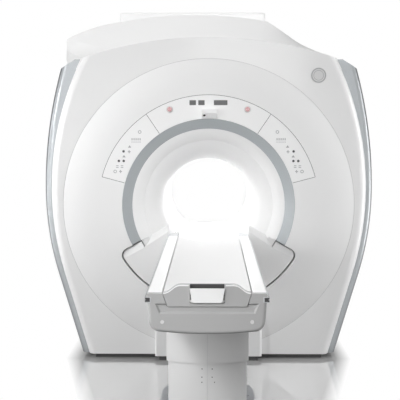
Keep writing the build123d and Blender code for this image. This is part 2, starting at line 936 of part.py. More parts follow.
# Bore ring: silver band with a conical face, open at the bottom above the dock panel
with BuildPart() as bore_ring:
    with BuildSketch(bore_section):
        with BuildLine():
            Polyline(
                (ring_inner_r, ring_lip),
                (ring_outer_r, band_front),
                (ring_outer_r, ring_back),
                (ring_inner_r, ring_back),
                close=True,
            )
        make_face()
    revolve(axis=bore_axis)
    with BuildSketch(bore_elevation(2 * band_front)):
        add(lower_sector(2 * ring_outer_r, ring_end))
    extrude(amount=-funnel_depth, mode=Mode.SUBTRACT)
save(bore_ring, "bore_ring")


bell_arc_r = trumpet_radius(bell_r - bore_r, funnel_depth - bell_start)
bell_centre = (bore_r + bell_arc_r, funnel_depth)
bell_sweep = degrees(asin((funnel_depth - bell_start) / bell_arc_r))
lip_plane_r = ring_inner_r - glide_gap


# Front funnel: rolled bead, groove and trumpet bell down to the bore
with BuildPart() as front_funnel:
    with BuildSketch(bore_section):
        with BuildLine():
            ThreePointArc((lip_plane_r, ring_lip), bead_mid, (bead_r, bead_start))
            inner_bell = CenterArc(bell_centre, bell_arc_r, 180, bell_sweep)
            Line((bead_r, bead_start), inner_bell @ 1)
            outer_bell = CenterArc(bell_centre, bell_arc_r - funnel_wall, 180, bell_sweep)
            Line(inner_bell @ 0, outer_bell @ 0)
            flange_back = ring_back + seat_gap + funnel_wall
            Line(outer_bell @ 1, (lip_plane_r, flange_back))
            Line((lip_plane_r, flange_back), (funnel_flange_r, flange_back))
            Line((funnel_flange_r, flange_back), (funnel_flange_r, ring_back + seat_gap))
            Line((funnel_flange_r, ring_back + seat_gap), (lip_plane_r, ring_back + seat_gap))
            Line((lip_plane_r, ring_back + seat_gap), (lip_plane_r, ring_lip))
        make_face()
    revolve(axis=bore_axis)
    with BuildSketch(bore_elevation(2 * band_front)):
        add(lower_sector(2 * ring_outer_r, apron_angle + apron_side_gap))
    extrude(amount=2 * band_front - flange_back - seat_gap, mode=Mode.SUBTRACT)
save(front_funnel, "front_funnel")


def bevel_cutter(angle, start_r, front, width, depth):
    """Wedge that bevels the front of an edge which lies along a ray at an angle, right-hand side."""
    ray = (cos(radians(angle)), 0, sin(radians(angle)))
    down = (sin(radians(angle)), 0, -cos(radians(angle)))
    origin = (start_r * ray[0], front_y, iso_height + start_r * ray[2])
    with BuildPart() as cutter:
        with BuildSketch(Plane(origin=origin, x_dir=down, z_dir=ray)):
            with BuildLine():
                Polyline(
                    (-width, front - depth),
                    (width, front - depth),
                    (width, front),
                    (0, front + depth),
                    (-width, front + depth),
                    close=True,
                )
            make_face()
        extrude(amount=dock_r)
    return cutter.part


def channel_sketch(clear):
    """Opening in the gantry front for the table rails and the round trough of the bridge."""
    with BuildSketch() as shape:
        with Locations((0, track_rel / 2)):
            Rectangle(2 * (channel_half + clear), -track_rel)
        Circle(bore_r + clear)
    return shape.sketch


with BuildPart() as funnel_void:
    with BuildSketch(bore_section):
        with BuildLine():
            Line((0, apron_front), (lip_plane_r, apron_front))
            Line((lip_plane_r, apron_front), (lip_plane_r, ring_lip))
            ThreePointArc((lip_plane_r, ring_lip), bead_mid, (bead_r, bead_start))
            void_bell = CenterArc(bell_centre, bell_arc_r, 180, bell_sweep)
            Line((bead_r, bead_start), void_bell @ 1)
            Line(void_bell @ 0, (0, funnel_depth))
            Line((0, funnel_depth), (0, apron_front))
        make_face()
        offset(amount=-seat_gap, kind=Kind.INTERSECTION, mode=Mode.REPLACE)
    revolve(axis=bore_axis)


# Apron: fills the bottom of the funnel beside the table, with bevelled ledges
with BuildPart() as apron:
    with BuildSketch(bore_elevation(2 * apron_front)):
        add(lower_sector(dock_r, apron_angle))
    extrude(amount=2 * apron_front - funnel_depth)
    add(funnel_void.part, mode=Mode.INTERSECT)
    right_bevel = bevel_cutter(
        apron_angle, bore_r / 2, apron_front, bevel_width, bevel_depth
    )
    add(right_bevel, mode=Mode.SUBTRACT)
    add(mirror(right_bevel, about=Plane.YZ), mode=Mode.SUBTRACT)
    with BuildSketch(bore_elevation(2 * apron_front)):
        add(channel_sketch(seat_gap))
    extrude(amount=2 * apron_front - funnel_depth, mode=Mode.SUBTRACT)
    with BuildSketch(bore_elevation(dock_front)):
        add(lower_sector(dock_r, dock_step_angle))
    extrude(amount=-dock_thickness - seat_gap, mode=Mode.SUBTRACT)
save(apron, "apron")


# Dock panel: grey sector plate under the bore, bevelled beside the ring
with BuildPart() as dock_panel:
    with BuildSketch(bore_elevation(dock_front)):
        add(lower_sector(dock_r, dock_angle))
        fillet(vertices().group_by(SortBy.DISTANCE)[-1], dock_corner_r)
        with BuildSketch(mode=Mode.PRIVATE) as step_cut:
            add(lower_sector(dock_step_r, dock_angle + dock_step_slack))
            with BuildSketch(mode=Mode.PRIVATE) as step_keep:
                add(lower_sector(dock_r, dock_step_angle))
            add(step_keep.sketch, mode=Mode.SUBTRACT)
        add(step_cut.sketch, mode=Mode.SUBTRACT)
        add(channel_sketch(seat_gap), mode=Mode.SUBTRACT)
    extrude(amount=-dock_thickness)
    panel_bevel = bevel_cutter(dock_angle, dock_step_r, dock_front, bevel_width, dock_thickness / 2)
    add(panel_bevel, mode=Mode.SUBTRACT)
    add(mirror(panel_bevel, about=Plane.YZ), mode=Mode.SUBTRACT)
save(dock_panel, "dock_panel")


# Bridge: bed of the bore on which the cradle runs
with BuildPart() as bridge:
    with BuildSketch(bore_elevation(dock_front)):
        Circle(bore_r - seat_gap)
        with Locations((0, track_rel + bore_r)):
            Rectangle(2 * bore_r, 2 * bore_r, mode=Mode.SUBTRACT)
    extrude(amount=dock_front - liner_end)
    bridge_entry = bridge.faces().sort_by(Axis.Y)[0].edges().filter_by(Axis.X)
    chamfer(bridge_entry, cradle_skid)
save(bridge, "bridge")


# Room for the dock rails: the inside of the funnel and the space in front of it
with BuildPart() as rail_room:
    with BuildSketch(bore_elevation(2 * dock_front)):
        Circle(funnel_flange_r)
    extrude(amount=2 * dock_front - apron_front - seat_gap)
    add(funnel_void.part)


# Dock rails: carry on the table's side rails into the funnel
with BuildPart() as dock_rails:
    rail_mid_x = (rail_inner + table_half) / 2
    rail_height = rail_top - track_top
    rail_mid_rel = track_rel + rail_height / 2
    with BuildSketch(bore_elevation(dock_front)):
        with Locations((rail_mid_x, rail_mid_rel), (-rail_mid_x, rail_mid_rel)):
            Rectangle(table_half - rail_inner, rail_height)
    extrude(amount=dock_front - funnel_depth)
    fillet(dock_rails.faces().group_by(Axis.Z)[-1].edges().filter_by(Axis.Y), rail_edge_r)
    add(rail_room.part, mode=Mode.INTERSECT)
save(dock_rails, "dock_rails")


# Bore liner with recessed light strips
light_spans = [light_angles, (180 - light_angles[1], 180 - light_angles[0])]
light_slack = degrees(seat_gap / bore_r)
with BuildPart() as bore_liner:
    with BuildSketch(bore_elevation(funnel_depth)):
        Circle(bore_r + liner_wall)
        Circle(bore_r, mode=Mode.SUBTRACT)
    extrude(amount=funnel_depth - liner_end)
    light_length = liner_end - funnel_depth - 2 * light_margin
    with BuildSketch(bore_elevation(funnel_depth + light_margin)):
        for start, end in light_spans:
            add(
                ring_sector(
                    bore_r - liner_wall,
                    bore_r + light_thickness + seat_gap,
                    start - light_slack,
                    end + light_slack,
                )
            )
    extrude(amount=-light_length, mode=Mode.SUBTRACT)
save(bore_liner, "bore_liner")

with BuildPart() as bore_lights:
    for start, end in light_spans:
        with BuildSketch(bore_elevation(funnel_depth + light_margin + seat_gap)):
            add(ring_sector(bore_r + seat_gap, bore_r + light_thickness, start, end))
        extrude(amount=2 * seat_gap - light_length)
save(bore_lights, "bore_lights")


# Rear funnel
with BuildPart() as rear_funnel:
    with BuildSketch(bore_section):
        with BuildLine():
            rear_centre = (bore_r + rear_bell_r, liner_end)
            rear_inner = CenterArc(rear_centre, rear_bell_r, 180, -rear_sweep)
            rear_outer = CenterArc(rear_centre, rear_bell_r - funnel_wall, 180, -rear_sweep)
            Line(rear_inner @ 0, rear_outer @ 0)
            Line(rear_inner @ 1, ((rear_inner @ 1).X, (rear_outer @ 1).Y))
            Line(((rear_inner @ 1).X, (rear_outer @ 1).Y), rear_outer @ 1)
        make_face()
    revolve(axis=bore_axis)
save(rear_funnel, "rear_funnel")


def tube(inner_r, outer_r, start, length):
    """Plain tube about the bore's centre line."""
    with BuildPart() as pipe:
        with BuildSketch(bore_elevation(start)):
            Circle(outer_r)
            Circle(inner_r, mode=Mode.SUBTRACT)
        extrude(amount=-length)
    return pipe


# Body coil: tube around the liner with a window between each pair of rungs
body_coil_inner = bore_r + liner_wall + coil_gap
body_coil_outer = body_coil_inner + body_coil_wall
body_coil_start = magnet_start + body_coil_inset
body_coil_length = magnet_length - 2 * body_coil_inset
with BuildPart() as body_coil:
    with BuildSketch(bore_elevation(body_coil_start)):
        Circle(body_coil_outer)
        Circle(body_coil_inner, mode=Mode.SUBTRACT)
    extrude(amount=-body_coil_length)
    window_length = body_coil_length - 2 * window_margin
    with BuildSketch(bore_elevation(body_coil_start + window_margin)):
        for index in range(rung_count):
            middle = (index + 0.5) * 360 / rung_count
            half_window = rung_window / 2
            add(
                ring_sector(
                    body_coil_inner + body_coil_wall / 2,
                    body_coil_outer + body_coil_wall,
                    middle - half_window,
                    middle + half_window,
                )
            )
    extrude(amount=-window_length, mode=Mode.SUBTRACT)
save(body_coil, "body_coil")

gradient_coil = tube(
    body_coil_outer + coil_gap, warm_bore_r - coil_gap, magnet_start + coil_gap, magnet_length
)
save(gradient_coil, "gradient_coil")

warm_bore_tube = tube(warm_bore_r, warm_bore_r + warm_bore_wall, magnet_start, magnet_length)
save(warm_bore_tube, "warm_bore_tube")


def bore_facing_shell(inner_r, outer_r, start, length, wall):
    """Drum with two end plates, open towards the bore."""
    with BuildPart() as drum:
        with BuildSketch(bore_section):
            with BuildLine():
                Polyline(
                    (inner_r, start),
                    (outer_r, start),
                    (outer_r, start + length),
                    (inner_r, start + length),
                    (inner_r, start + length - wall),
                    (outer_r - wall, start + length - wall),
                    (outer_r - wall, start + wall),
                    (inner_r, start + wall),
                    close=True,
                )
            make_face()
        revolve(axis=bore_axis)
    return drum


# Magnet: vacuum vessel, helium vessel on struts, and windings on their former
vacuum_vessel = bore_facing_shell(
    warm_bore_r + warm_bore_wall + seat_gap,
    magnet_outer_r,
    magnet_start,
    magnet_length,
    vessel_wall,
)
save(vacuum_vessel, "vacuum_vessel")

helium_start = magnet_start + helium_inset
helium_length = magnet_length - 2 * helium_inset
helium_outer_r = magnet_outer_r - helium_margin
strut_circle_r = (helium_inner_r + helium_outer_r) / 2
with BuildPart() as helium_vessel:
    add(
        bore_facing_shell(
            helium_inner_r + former_wall + seat_gap,
            helium_outer_r,
            helium_start,
            helium_length,
            helium_wall,
        ).part
    )
    front_strut = magnet_start + vessel_wall + seat_gap
    rear_strut = helium_start + helium_length - helium_wall
    for strut_start in (front_strut, rear_strut):
        with BuildSketch(bore_elevation(strut_start)):
            with PolarLocations(strut_circle_r, strut_count, start_angle=strut_angle):
                Circle(strut_r)
        extrude(amount=front_strut - helium_start - helium_wall)
save(helium_vessel, "helium_vessel")

with BuildPart() as magnet_windings:
    with BuildSketch(bore_elevation(helium_start)):
        Circle(helium_inner_r + former_wall)
        Circle(helium_inner_r, mode=Mode.SUBTRACT)
    extrude(amount=-helium_length)
    winding_room = helium_length - 2 * winding_inset - winding_length
    winding_pitch = winding_room / (winding_count - 1)
    for index in range(winding_count):
        winding_start = helium_start + winding_inset + index * winding_pitch
        with BuildSketch(bore_elevation(winding_start)):
            Circle(winding_r)
            Circle(helium_inner_r, mode=Mode.SUBTRACT)
        extrude(amount=-winding_length)
save(magnet_windings, "magnet_windings")


# Cold head: flange seated on the vacuum vessel under the service box
with BuildPart() as cold_head:
    with BuildSketch(Plane.XY.offset(iso_height)):
        with Locations((cold_head_x, front_y + cold_head_depth)):
            Circle(cold_head_r)
    extrude(amount=cold_head_top - iso_height)
    turret_x = cold_head_x + cold_flange_r
    turret_top = iso_height + sqrt(magnet_outer_r**2 - turret_x**2) + cold_flange
    with BuildSketch(Plane.XY.offset(iso_height)):
        with Locations((cold_head_x, front_y + cold_head_depth)):
            Circle(cold_flange_r)
    extrude(amount=turret_top - iso_height)
    with BuildSketch(bore_elevation(0)):
        Circle(magnet_outer_r + seat_gap)
    extrude(amount=-gantry_depth, mode=Mode.SUBTRACT)
save(cold_head, "cold_head")


# Magnet feet: saddles under the vessel, each with a flange and an anchor hole
with BuildPart() as magnet_feet:
    for foot_depth in (magnet_start + foot_inset, magnet_end - foot_inset):
        for side in (-1, 1):
            with BuildSketch(Plane.XY):
                with Locations((side * foot_x, front_y + foot_depth)):
                    Rectangle(foot_width, foot_length)
            extrude(amount=iso_height)
            with BuildSketch(Plane.XY):
                with Locations((side * (foot_x + foot_shift), front_y + foot_depth)):
                    Rectangle(foot_flange_width, foot_length)
                with Locations((side * anchor_x, front_y + foot_depth)):
                    Circle(anchor_hole_r, mode=Mode.SUBTRACT)
            extrude(amount=foot_flange)
    with BuildSketch(bore_elevation(0)):
        Circle(magnet_outer_r + seat_gap)
    extrude(amount=-gantry_depth, mode=Mode.SUBTRACT)
save(magnet_feet, "magnet_feet")


# Outline of the table: slightly bowed underside and rounded lower corners
with BuildSketch() as table_sketch:
    with BuildLine():
        Polyline(
            (table_low_half, table_low_z),
            (table_half, table_side_z),
            (table_half, rail_top),
            (-table_half, rail_top),
            (-table_half, table_side_z),
            (-table_low_half, table_low_z),
        )
        ThreePointArc(
            (-table_low_half, table_low_z), (0, table_mid_z), (table_low_half, table_low_z)
        )
    make_face()
    fillet(table_sketch.vertices().sort_by(Axis.Y)[0:2], table_corner_r)


def table_outline(inset):
    """Outline of the table in front elevation, drawn in by a distance."""
    with BuildSketch() as shape:
        add(table_sketch.sketch)
        offset(amount=-inset, kind=Kind.INTERSECTION, mode=Mode.REPLACE)
    return shape.sketch


notch_mid_x = (slot_rail_in + slot_rail_out) / 2
notch_mid_z = (slot_rail_low + slot_rail_high) / 2
notch_width = slot_rail_out - slot_rail_in + 2 * seat_gap
notch_height = slot_rail_high - slot_rail_low + 2 * seat_gap
notch_spots = [(notch_mid_x, notch_mid_z), (-notch_mid_x, notch_mid_z)]
screw_spots = [(screw_x, screw_z), (-screw_x, screw_z)]


# End cover: upright panel with an opening for the cradle's end cap and a sunk step around it
with BuildPart() as end_cover:
    with BuildSketch(elevation(-table_reach)):
        add(table_sketch.sketch)
        with BuildLine():
            Polyline(
                (-cap_low_half - cap_gap, cap_low_z - cap_gap),
                (cap_low_half + cap_gap, cap_low_z - cap_gap),
                (cradle_half + cap_gap, rail_top + cap_gap),
                (-cradle_half - cap_gap, rail_top + cap_gap),
                close=True,
            )
        make_face(mode=Mode.SUBTRACT)
        with Locations(notch_spots):
            Rectangle(notch_width, notch_height, mode=Mode.SUBTRACT)
    extrude(amount=-end_cover_thickness)
    lower_rim = (
        end_cover.faces()
        .sort_by(Axis.Y)[0]
        .edges()
        .filter_by(lambda edge: edge.center().Z < (recess_low_z + recess_top_z) / 2)
    )
    fillet(lower_rim, end_edge_r)
    with BuildSketch(elevation(-table_reach)):
        with BuildLine():
            Polyline(
                (-recess_low_half, recess_low_z),
                (recess_low_half, recess_low_z),
                (recess_top_half, recess_top_z),
                (-recess_top_half, recess_top_z),
                close=True,
            )
        make_face()
    extrude(amount=-recess_sink, taper=recess_bevel, mode=Mode.SUBTRACT)
    with BuildSketch(elevation(-table_reach)):
        with Locations(screw_spots):
            Circle(screw_cap_r + seat_gap)
    extrude(amount=-screw_cap_depth, mode=Mode.SUBTRACT)
save(end_cover, "end_cover")

with BuildPart() as screw_caps:
    with BuildSketch(elevation(screw_cap_depth - table_reach)):
        with Locations(screw_spots):
            Circle(screw_cap_r)
    extrude(amount=screw_cap_depth + screw_proud)
    fillet(screw_caps.faces().group_by(Axis.Y)[0].edges(), screw_proud / 2)
save(screw_caps, "screw_caps")


# Table pan: boxed body under the rails, with the cradle's track on top and a closed inner end
pan_length = inner_end - end_back
with BuildPart() as table_pan:
    with BuildSketch(elevation(end_back)) as pan_section:
        add(table_outline(pan_inset))
        with Locations((0, track_top + table_half)):
            Rectangle(3 * table_half, 2 * table_half, mode=Mode.SUBTRACT)
    extrude(amount=-pan_length)
    with BuildSketch(elevation(end_back)):
        add(table_outline(pan_inset + pan_wall))
        with Locations((0, track_top - deck_thickness + table_half)):
            Rectangle(3 * table_half, 2 * table_half, mode=Mode.SUBTRACT)
    extrude(amount=pan_wall - pan_length, mode=Mode.SUBTRACT)
save(table_pan, "table_pan")


# Side rails of the table, notched for the accessory rails
with BuildPart() as rail_right:
    with BuildSketch(elevation(end_back)) as rail_section:
        with Locations((rail_mid_x, track_top + rail_height / 2)):
            Rectangle(table_half - rail_inner, rail_height)
        fillet(rail_section.vertices().group_by(Axis.Y)[-1], rail_edge_r)
        with Locations(notch_spots):
            Rectangle(notch_width, notch_height, mode=Mode.SUBTRACT)
    extrude(amount=-pan_length)
save(rail_right, "rail_right")
save(mirrored(rail_right), "rail_left")

with BuildPart() as accessory_rails:
    with BuildSketch(elevation(-table_reach - slot_rail_proud)):
        with Locations((notch_mid_x, notch_mid_z)):
            Rectangle(slot_rail_out - slot_rail_in, slot_rail_high - slot_rail_low)
        with Locations((slot_rail_out - slot_lip / 2, notch_mid_z)):
            Rectangle(slot_lip, slot_mouth, mode=Mode.SUBTRACT)
        cavity_width = slot_rail_out - slot_rail_in - slot_lip - slot_back
        with Locations((slot_rail_out - slot_lip - cavity_width / 2, notch_mid_z)):
            Rectangle(cavity_width, slot_cavity, mode=Mode.SUBTRACT)
    extrude(amount=slot_rail_inner_gap - table_reach - slot_rail_proud)
    mirror(about=Plane.YZ)
save(accessory_rails, "accessory_rails")


# Cradle: dished board on two skids, rounded at the head end
cradle_start = cap_thickness - table_reach
cradle_length = inner_end - cradle_side_gap - cradle_start
with BuildPart() as cradle:
    with BuildSketch(elevation(cradle_start)):
        with BuildLine():
            dish = ThreePointArc(
                (-cradle_half, rail_top), (0, rail_top - cradle_dish), (cradle_half, rail_top)
            )
            belly = ThreePointArc(
                (-cradle_half, rail_top - cradle_wall),
                (0, rail_top - cradle_dish - cradle_wall),
                (cradle_half, rail_top - cradle_wall),
            )
            Line(dish @ 0, belly @ 0)
            Line(dish @ 1, belly @ 1)
        make_face()
        skid_height = cradle_skid + cradle_wall
        skid_mid_z = track_top + glide_gap + skid_height / 2
        with Locations((cradle_skid_x, skid_mid_z), (-cradle_skid_x, skid_mid_z)):
            Rectangle(cradle_skid_width, skid_height)
    extrude(amount=-cradle_length)
    with BuildSketch(Plane.XY.offset(track_top)) as cradle_plan:
        with Locations((0, front_y + cradle_start + cradle_length / 2)):
            Rectangle(2 * cradle_half, cradle_length)
        fillet(cradle_plan.vertices().group_by(Axis.Y)[-1], cradle_head_r)
    extrude(amount=2 * rail_height, mode=Mode.INTERSECT)
save(cradle, "cradle")


pivot_plane = Plane(
    origin=(0, front_y + pivot_set_back - table_reach, pivot_z),
    x_dir=(0, 1, 0),
    z_dir=(1, 0, 0),
)


# Cradle end cap: upright panel with a waved top and a finger pocket in the middle
with BuildPart() as cradle_end_cap:
    with BuildSketch(elevation(-table_reach)):
        cap_side_z = rail_top + cap_side_rise
        cap_turn = (cradle_half - cap_crest_half) / 2
        with BuildLine():
            Polyline(
                (0, cap_low_z),
                (cap_low_half, cap_low_z),
                (cradle_half, rail_top),
                (cradle_half, cap_side_z),
            )
            Bezier(
                (cradle_half, cap_side_z),
                (cradle_half - cap_turn, cap_side_z),
                (cap_crest_half + cap_turn, cap_crest),
                (cap_crest_half, cap_crest),
            )
            Line((cap_crest_half, cap_crest), (0, cap_crest))
            mirror(about=Plane.YZ)
        make_face()
    extrude(amount=-cap_thickness)
    crest_edges = (
        cradle_end_cap.edges()
        .filter_by(lambda edge: edge.center().Z > cap_side_z + cap_edge_r)
        .filter_by(Plane.XZ)
    )
    fillet(crest_edges, cap_edge_r)
    with BuildSketch(elevation(-table_reach)):
        with Locations((0, pocket_floor + cap_crest / 2)):
            Rectangle(2 * pocket_half, cap_crest)
    extrude(amount=-pocket_depth, mode=Mode.SUBTRACT)
    with BuildSketch(pivot_plane.offset(-trunnion_end - seat_gap)):
        Circle(pivot_r + pin_gap)
    extrude(amount=2 * (trunnion_end + seat_gap), mode=Mode.SUBTRACT)
save(cradle_end_cap, "cradle_end_cap")


# Release handle: ribbed flap on two lugs whose trunnions turn in the end cap
with BuildPart() as cradle_handle:
    handle_back = -table_reach - handle_stand
    with BuildSketch(elevation(handle_back)) as handle_sketch:
        with BuildLine():
            Polyline(
                (-handle_low_half, handle_low),
                (handle_low_half, handle_low),
                (handle_half, handle_high),
                (-handle_half, handle_high),
                close=True,
            )
        make_face()
        fillet(handle_sketch.vertices().group_by(Axis.Y)[0], handle_corner_r)
    extrude(amount=handle_thickness)
    rib_spots = [(0, rib_low + index * rib_pitch) for index in range(rib_count)]
    with BuildSketch(elevation(handle_back - handle_thickness)):
        with Locations(rib_spots):
            SlotOverall(2 * rib_half, rib_width)
    extrude(amount=-rib_sink, mode=Mode.SUBTRACT)
    lug_reach = pivot_set_back + handle_stand + handle_thickness / 2
    for side in (-1, 1):
        with BuildSketch(pivot_plane.offset(side * lug_x)):
            Circle(lug_r)
            with Locations((-lug_reach / 2, 0)):
                Rectangle(lug_reach, 2 * lug_r)
        extrude(amount=lug_width / 2, both=True)
        with BuildSketch(pivot_plane.offset(side * lug_x)):
            Circle(pivot_r)
        extrude(amount=side * (trunnion_end - lug_x))
save(cradle_handle, "cradle_handle")


def pedestal_cover(half_width, front, rear, low, high):
    """Thin cover with a bowed front, in two halves that meet along the centre seam."""
    side_front = front_y + front + pedestal_bow
    with BuildPart() as cover:
        with BuildSketch(Plane.XY.offset(low)) as plan:
            with BuildLine():
                ThreePointArc(
                    (-half_width, side_front), (0, front_y + front), (half_width, side_front)
                )
                Polyline(
                    (half_width, side_front),
                    (half_width, front_y + rear),
                    (-half_width, front_y + rear),
                    (-half_width, side_front),
                )
            make_face()
            fillet(plan.vertices().group_by(Axis.Y)[-1], pedestal_corner_r)
            offset(amount=-pedestal_wall, kind=Kind.INTERSECTION, mode=Mode.SUBTRACT)
            with Locations((0, front_y + (front + rear) / 2)):
                Rectangle(cover_seam, 2 * (rear - front), mode=Mode.SUBTRACT)
        extrude(amount=high - low)
    return cover


lower_cover = pedestal_cover(
    lower_half, pedestal_front, pedestal_rear, base_thickness, lower_top_z
)
save(lower_cover, "lower_pedestal_cover")

with BuildPart() as upper_cover:
    upper_step = upper_half - lower_half
    upper_front = pedestal_front - upper_step
    upper_rear = pedestal_rear + upper_step
    add(pedestal_cover(upper_half, upper_front, upper_rear, upper_low_z, table_side_z).part)
    with BuildSketch(elevation(-table_reach)):
        add(table_outline(pan_inset - seat_gap))
    extrude(amount=-table_reach, mode=Mode.SUBTRACT)
save(upper_cover, "upper_pedestal_cover")


def lift_column(inset, low, high):
    """Rectangular tube of the telescoping lift, drawn in by a distance."""
    width = 2 * (column_half - inset)
    length = column_rear - column_front - 2 * inset
    with BuildPart() as column:
        with BuildSketch(Plane.XY.offset(low)):
            with Locations((0, front_y + (column_front + column_rear) / 2)):
                Rectangle(width, length)
                Rectangle(
                    width - 2 * column_wall, length - 2 * column_wall, mode=Mode.SUBTRACT
                )
        extrude(amount=high - low)
    return column


# Lift columns: the inner one rises with the table inside the outer one
save(lift_column(0, base_thickness, lower_top_z), "lift_column_outer")

with BuildPart() as inner_column:
    add(lift_column(column_wall + glide_gap, column_inner_low, table_side_z).part)
    with BuildSketch(elevation(-table_reach)):
        add(table_outline(pan_inset - seat_gap))
    extrude(amount=-table_reach, mode=Mode.SUBTRACT)
save(inner_column, "lift_column_inner")


# Table base: floor plate with four anchor holes, and a cable duct that runs to the gantry
with BuildPart() as table_base:
    with BuildSketch(Plane.XY) as base_sketch:
        cut_y = front_y + base_rear - base_cut_y
        with BuildLine():
            Polyline(
                (-base_half, front_y + base_front),
                (base_half, front_y + base_front),
                (base_half, cut_y),
                (base_half - base_cut_x, front_y + base_rear),
                (base_cut_x - base_half, front_y + base_rear),
                (-base_half, cut_y),
                close=True,
            )
        make_face()
        fillet(base_sketch.vertices().group_by(Axis.Y)[0], base_corner_r)
        for hole_depth in base_hole_depths:
            hole_y = front_y + hole_depth
            with Locations((base_hole_x, hole_y), (-base_hole_x, hole_y)):
                Circle(base_hole_r, mode=Mode.SUBTRACT)
    extrude(amount=base_thickness)
    with BuildSketch(elevation(base_rear - duct_wall)):
        with Locations((0, duct_height / 2)):
            Rectangle(2 * duct_half, duct_height)
    extrude(amount=base_rear - duct_wall - block_foot_front + seat_gap)
    with BuildSketch(elevation(base_rear)):
        with Locations((0, duct_height / 2)):
            Rectangle(2 * (duct_half - duct_wall), duct_height - 2 * duct_wall)
    extrude(amount=base_rear - block_foot_front, mode=Mode.SUBTRACT)
save(table_base, "table_base")


# Blank of the domed surround, to shape what stands against it
with BuildPart() as dome_blank:
    with BuildSketch(bore_section):
        with BuildLine():
            blank_arc = CenterArc(
                (dome_flat_r, band_front + dome_r), dome_r + seat_gap, -90, dome_sweep
            )
            Polyline(blank_arc @ 0, (0, band_front - seat_gap), (0, (blank_arc @ 1).Y))
            Line((0, (blank_arc @ 1).Y), blank_arc @ 1)
        make_face()
    revolve(axis=bore_axis)


# Dock block: hollow cover on a recessed foot that ties the table to the gantry
with BuildPart() as dock_block:
    block_mid = (0, (block_low + block_top) / 2)
    block_height = block_top - block_low
    with BuildSketch(elevation(block_front)):
        with Locations(block_mid):
            Rectangle(2 * block_half, block_height)
    extrude(amount=block_front + seat_gap)
    block_rim = dock_block.faces().sort_by(Axis.Y)[0].edges()
    fillet(block_rim.filter_by(Axis.Z) + [block_rim.sort_by(Axis.Z)[-1]], block_edge_r)
    with BuildSketch(elevation(block_front + block_wall)):
        with Locations(block_mid):
            Rectangle(2 * (block_half - block_wall), block_height - 2 * block_wall)
    extrude(amount=block_front + block_wall, mode=Mode.SUBTRACT)
    add(dome_blank.part, mode=Mode.SUBTRACT)
save(dock_block, "dock_block")

with BuildPart() as dock_foot:
    with BuildSketch(Plane.XY):
        with Locations((0, front_y + (block_foot_front + block_foot_rear) / 2)):
            Rectangle(2 * block_foot_half, block_foot_rear - block_foot_front)
    extrude(amount=block_low)
save(dock_foot, "dock_foot")
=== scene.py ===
import json
import math

import bmesh
import bpy
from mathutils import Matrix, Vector


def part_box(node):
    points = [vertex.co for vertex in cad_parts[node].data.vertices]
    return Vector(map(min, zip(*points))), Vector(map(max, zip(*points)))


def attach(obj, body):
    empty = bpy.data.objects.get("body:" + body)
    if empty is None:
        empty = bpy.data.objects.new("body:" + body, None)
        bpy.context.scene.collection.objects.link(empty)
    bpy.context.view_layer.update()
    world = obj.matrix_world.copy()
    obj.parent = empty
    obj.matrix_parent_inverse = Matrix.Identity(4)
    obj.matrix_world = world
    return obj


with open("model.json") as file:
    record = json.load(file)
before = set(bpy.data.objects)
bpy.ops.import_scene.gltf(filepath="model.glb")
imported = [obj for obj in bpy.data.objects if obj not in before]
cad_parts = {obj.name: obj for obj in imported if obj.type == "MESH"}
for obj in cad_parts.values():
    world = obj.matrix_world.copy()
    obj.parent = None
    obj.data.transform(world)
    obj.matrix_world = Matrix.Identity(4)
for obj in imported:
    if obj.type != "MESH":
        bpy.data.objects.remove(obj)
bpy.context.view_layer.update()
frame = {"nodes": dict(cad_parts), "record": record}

# Looks of a whole-body scanner with its patient table. Metres, Z up from the floor, the patient
# goes in along +Y. FRONT_Y is the gantry's front plane, and ISO_Z the height of the bore's axis.
scene = bpy.context.scene
nodes = frame["nodes"]
FRONT_Y = 0.291
ISO_Z = 1.015

# The photograph's camera: its place, with the distance to the gantry's front, its turns in
# degrees, and its lens in millimetres
CAMERA_X = 0.016
CAMERA_BACK = 6.7
CAMERA_Z = 1.555
CAMERA_PITCH = -4.33
CAMERA_YAW = 0.61
CAMERA_LENS = 92.77
CAMERA_CLIP_END = 200

# Soft light: the even part, then each lamp's name, place, target, size, spread in degrees, power
AMBIENT = 0.74
LAMPS = (
    ("high_left", (-2.5, -6.0, 3.5), (-0.3, 0.29, 1.8), (1.5, 1.5), 40, 2.4),
    ("high_middle", (0.5, -6.5, 2.6), (0.1, 0.29, 1.5), (1.5, 1.5), 34, 1.6),
    ("left", (-4.0, -4.0, 1.9), (-0.8, 0.29, 1.25), (1.2, 1.2), 40, 5.4),
    ("overhead", (0.0, 0.3, 4.2), (0.0, 0.4, 2.0), (2.0, 1.0), 90, 3.4),
    ("table_top", (0.0, -1.1, 3.0), (0.0, -1.0, 0.8), (0.8, 1.8), 60, 1.5),
    ("pedestal_side", (-2.6, -3.0, 0.8), (0.0, -1.5, 0.45), (0.6, 0.6), 50, 2.4),
    ("end_left", (-1.3, -3.9, 2.1), (0.0, -1.95, 0.7), (0.6, 0.6), 34, 1.45),
    ("left_strip", (-2.8, 0.1, 1.2), (-1.0, 0.4, 1.1), (0.5, 2.2), 180, 22),
    ("right_strip", (2.8, 0.1, 1.2), (1.0, 0.4, 1.1), (0.5, 2.2), 180, 32),
    ("rear_fill", (-1.6, 7.0, 3.0), (0.0, 2.0, 1.1), (2.0, 2.0), 60, 11),
)

# Gloss mirrors white toward the front and a darker level behind, between two directions in Y
GLOSS_WHITE_Y = -0.9
GLOSS_DARK_Y = -0.1
GLOSS_DARK = 0.2

# Floor: tones for the camera and for bounced light, and its polish
FLOOR_HALF = 40.0
FLOOR_TONE = 0.8
FLOOR_BOUNCE_TONE = 0.2
FLOOR_ROUGHNESS = 0.5
FLOOR_POLISH = 0.62
MIRROR_TONE = (0.93, 0.93, 0.93, 1)
MIRROR_ROUGHNESS = 0.04

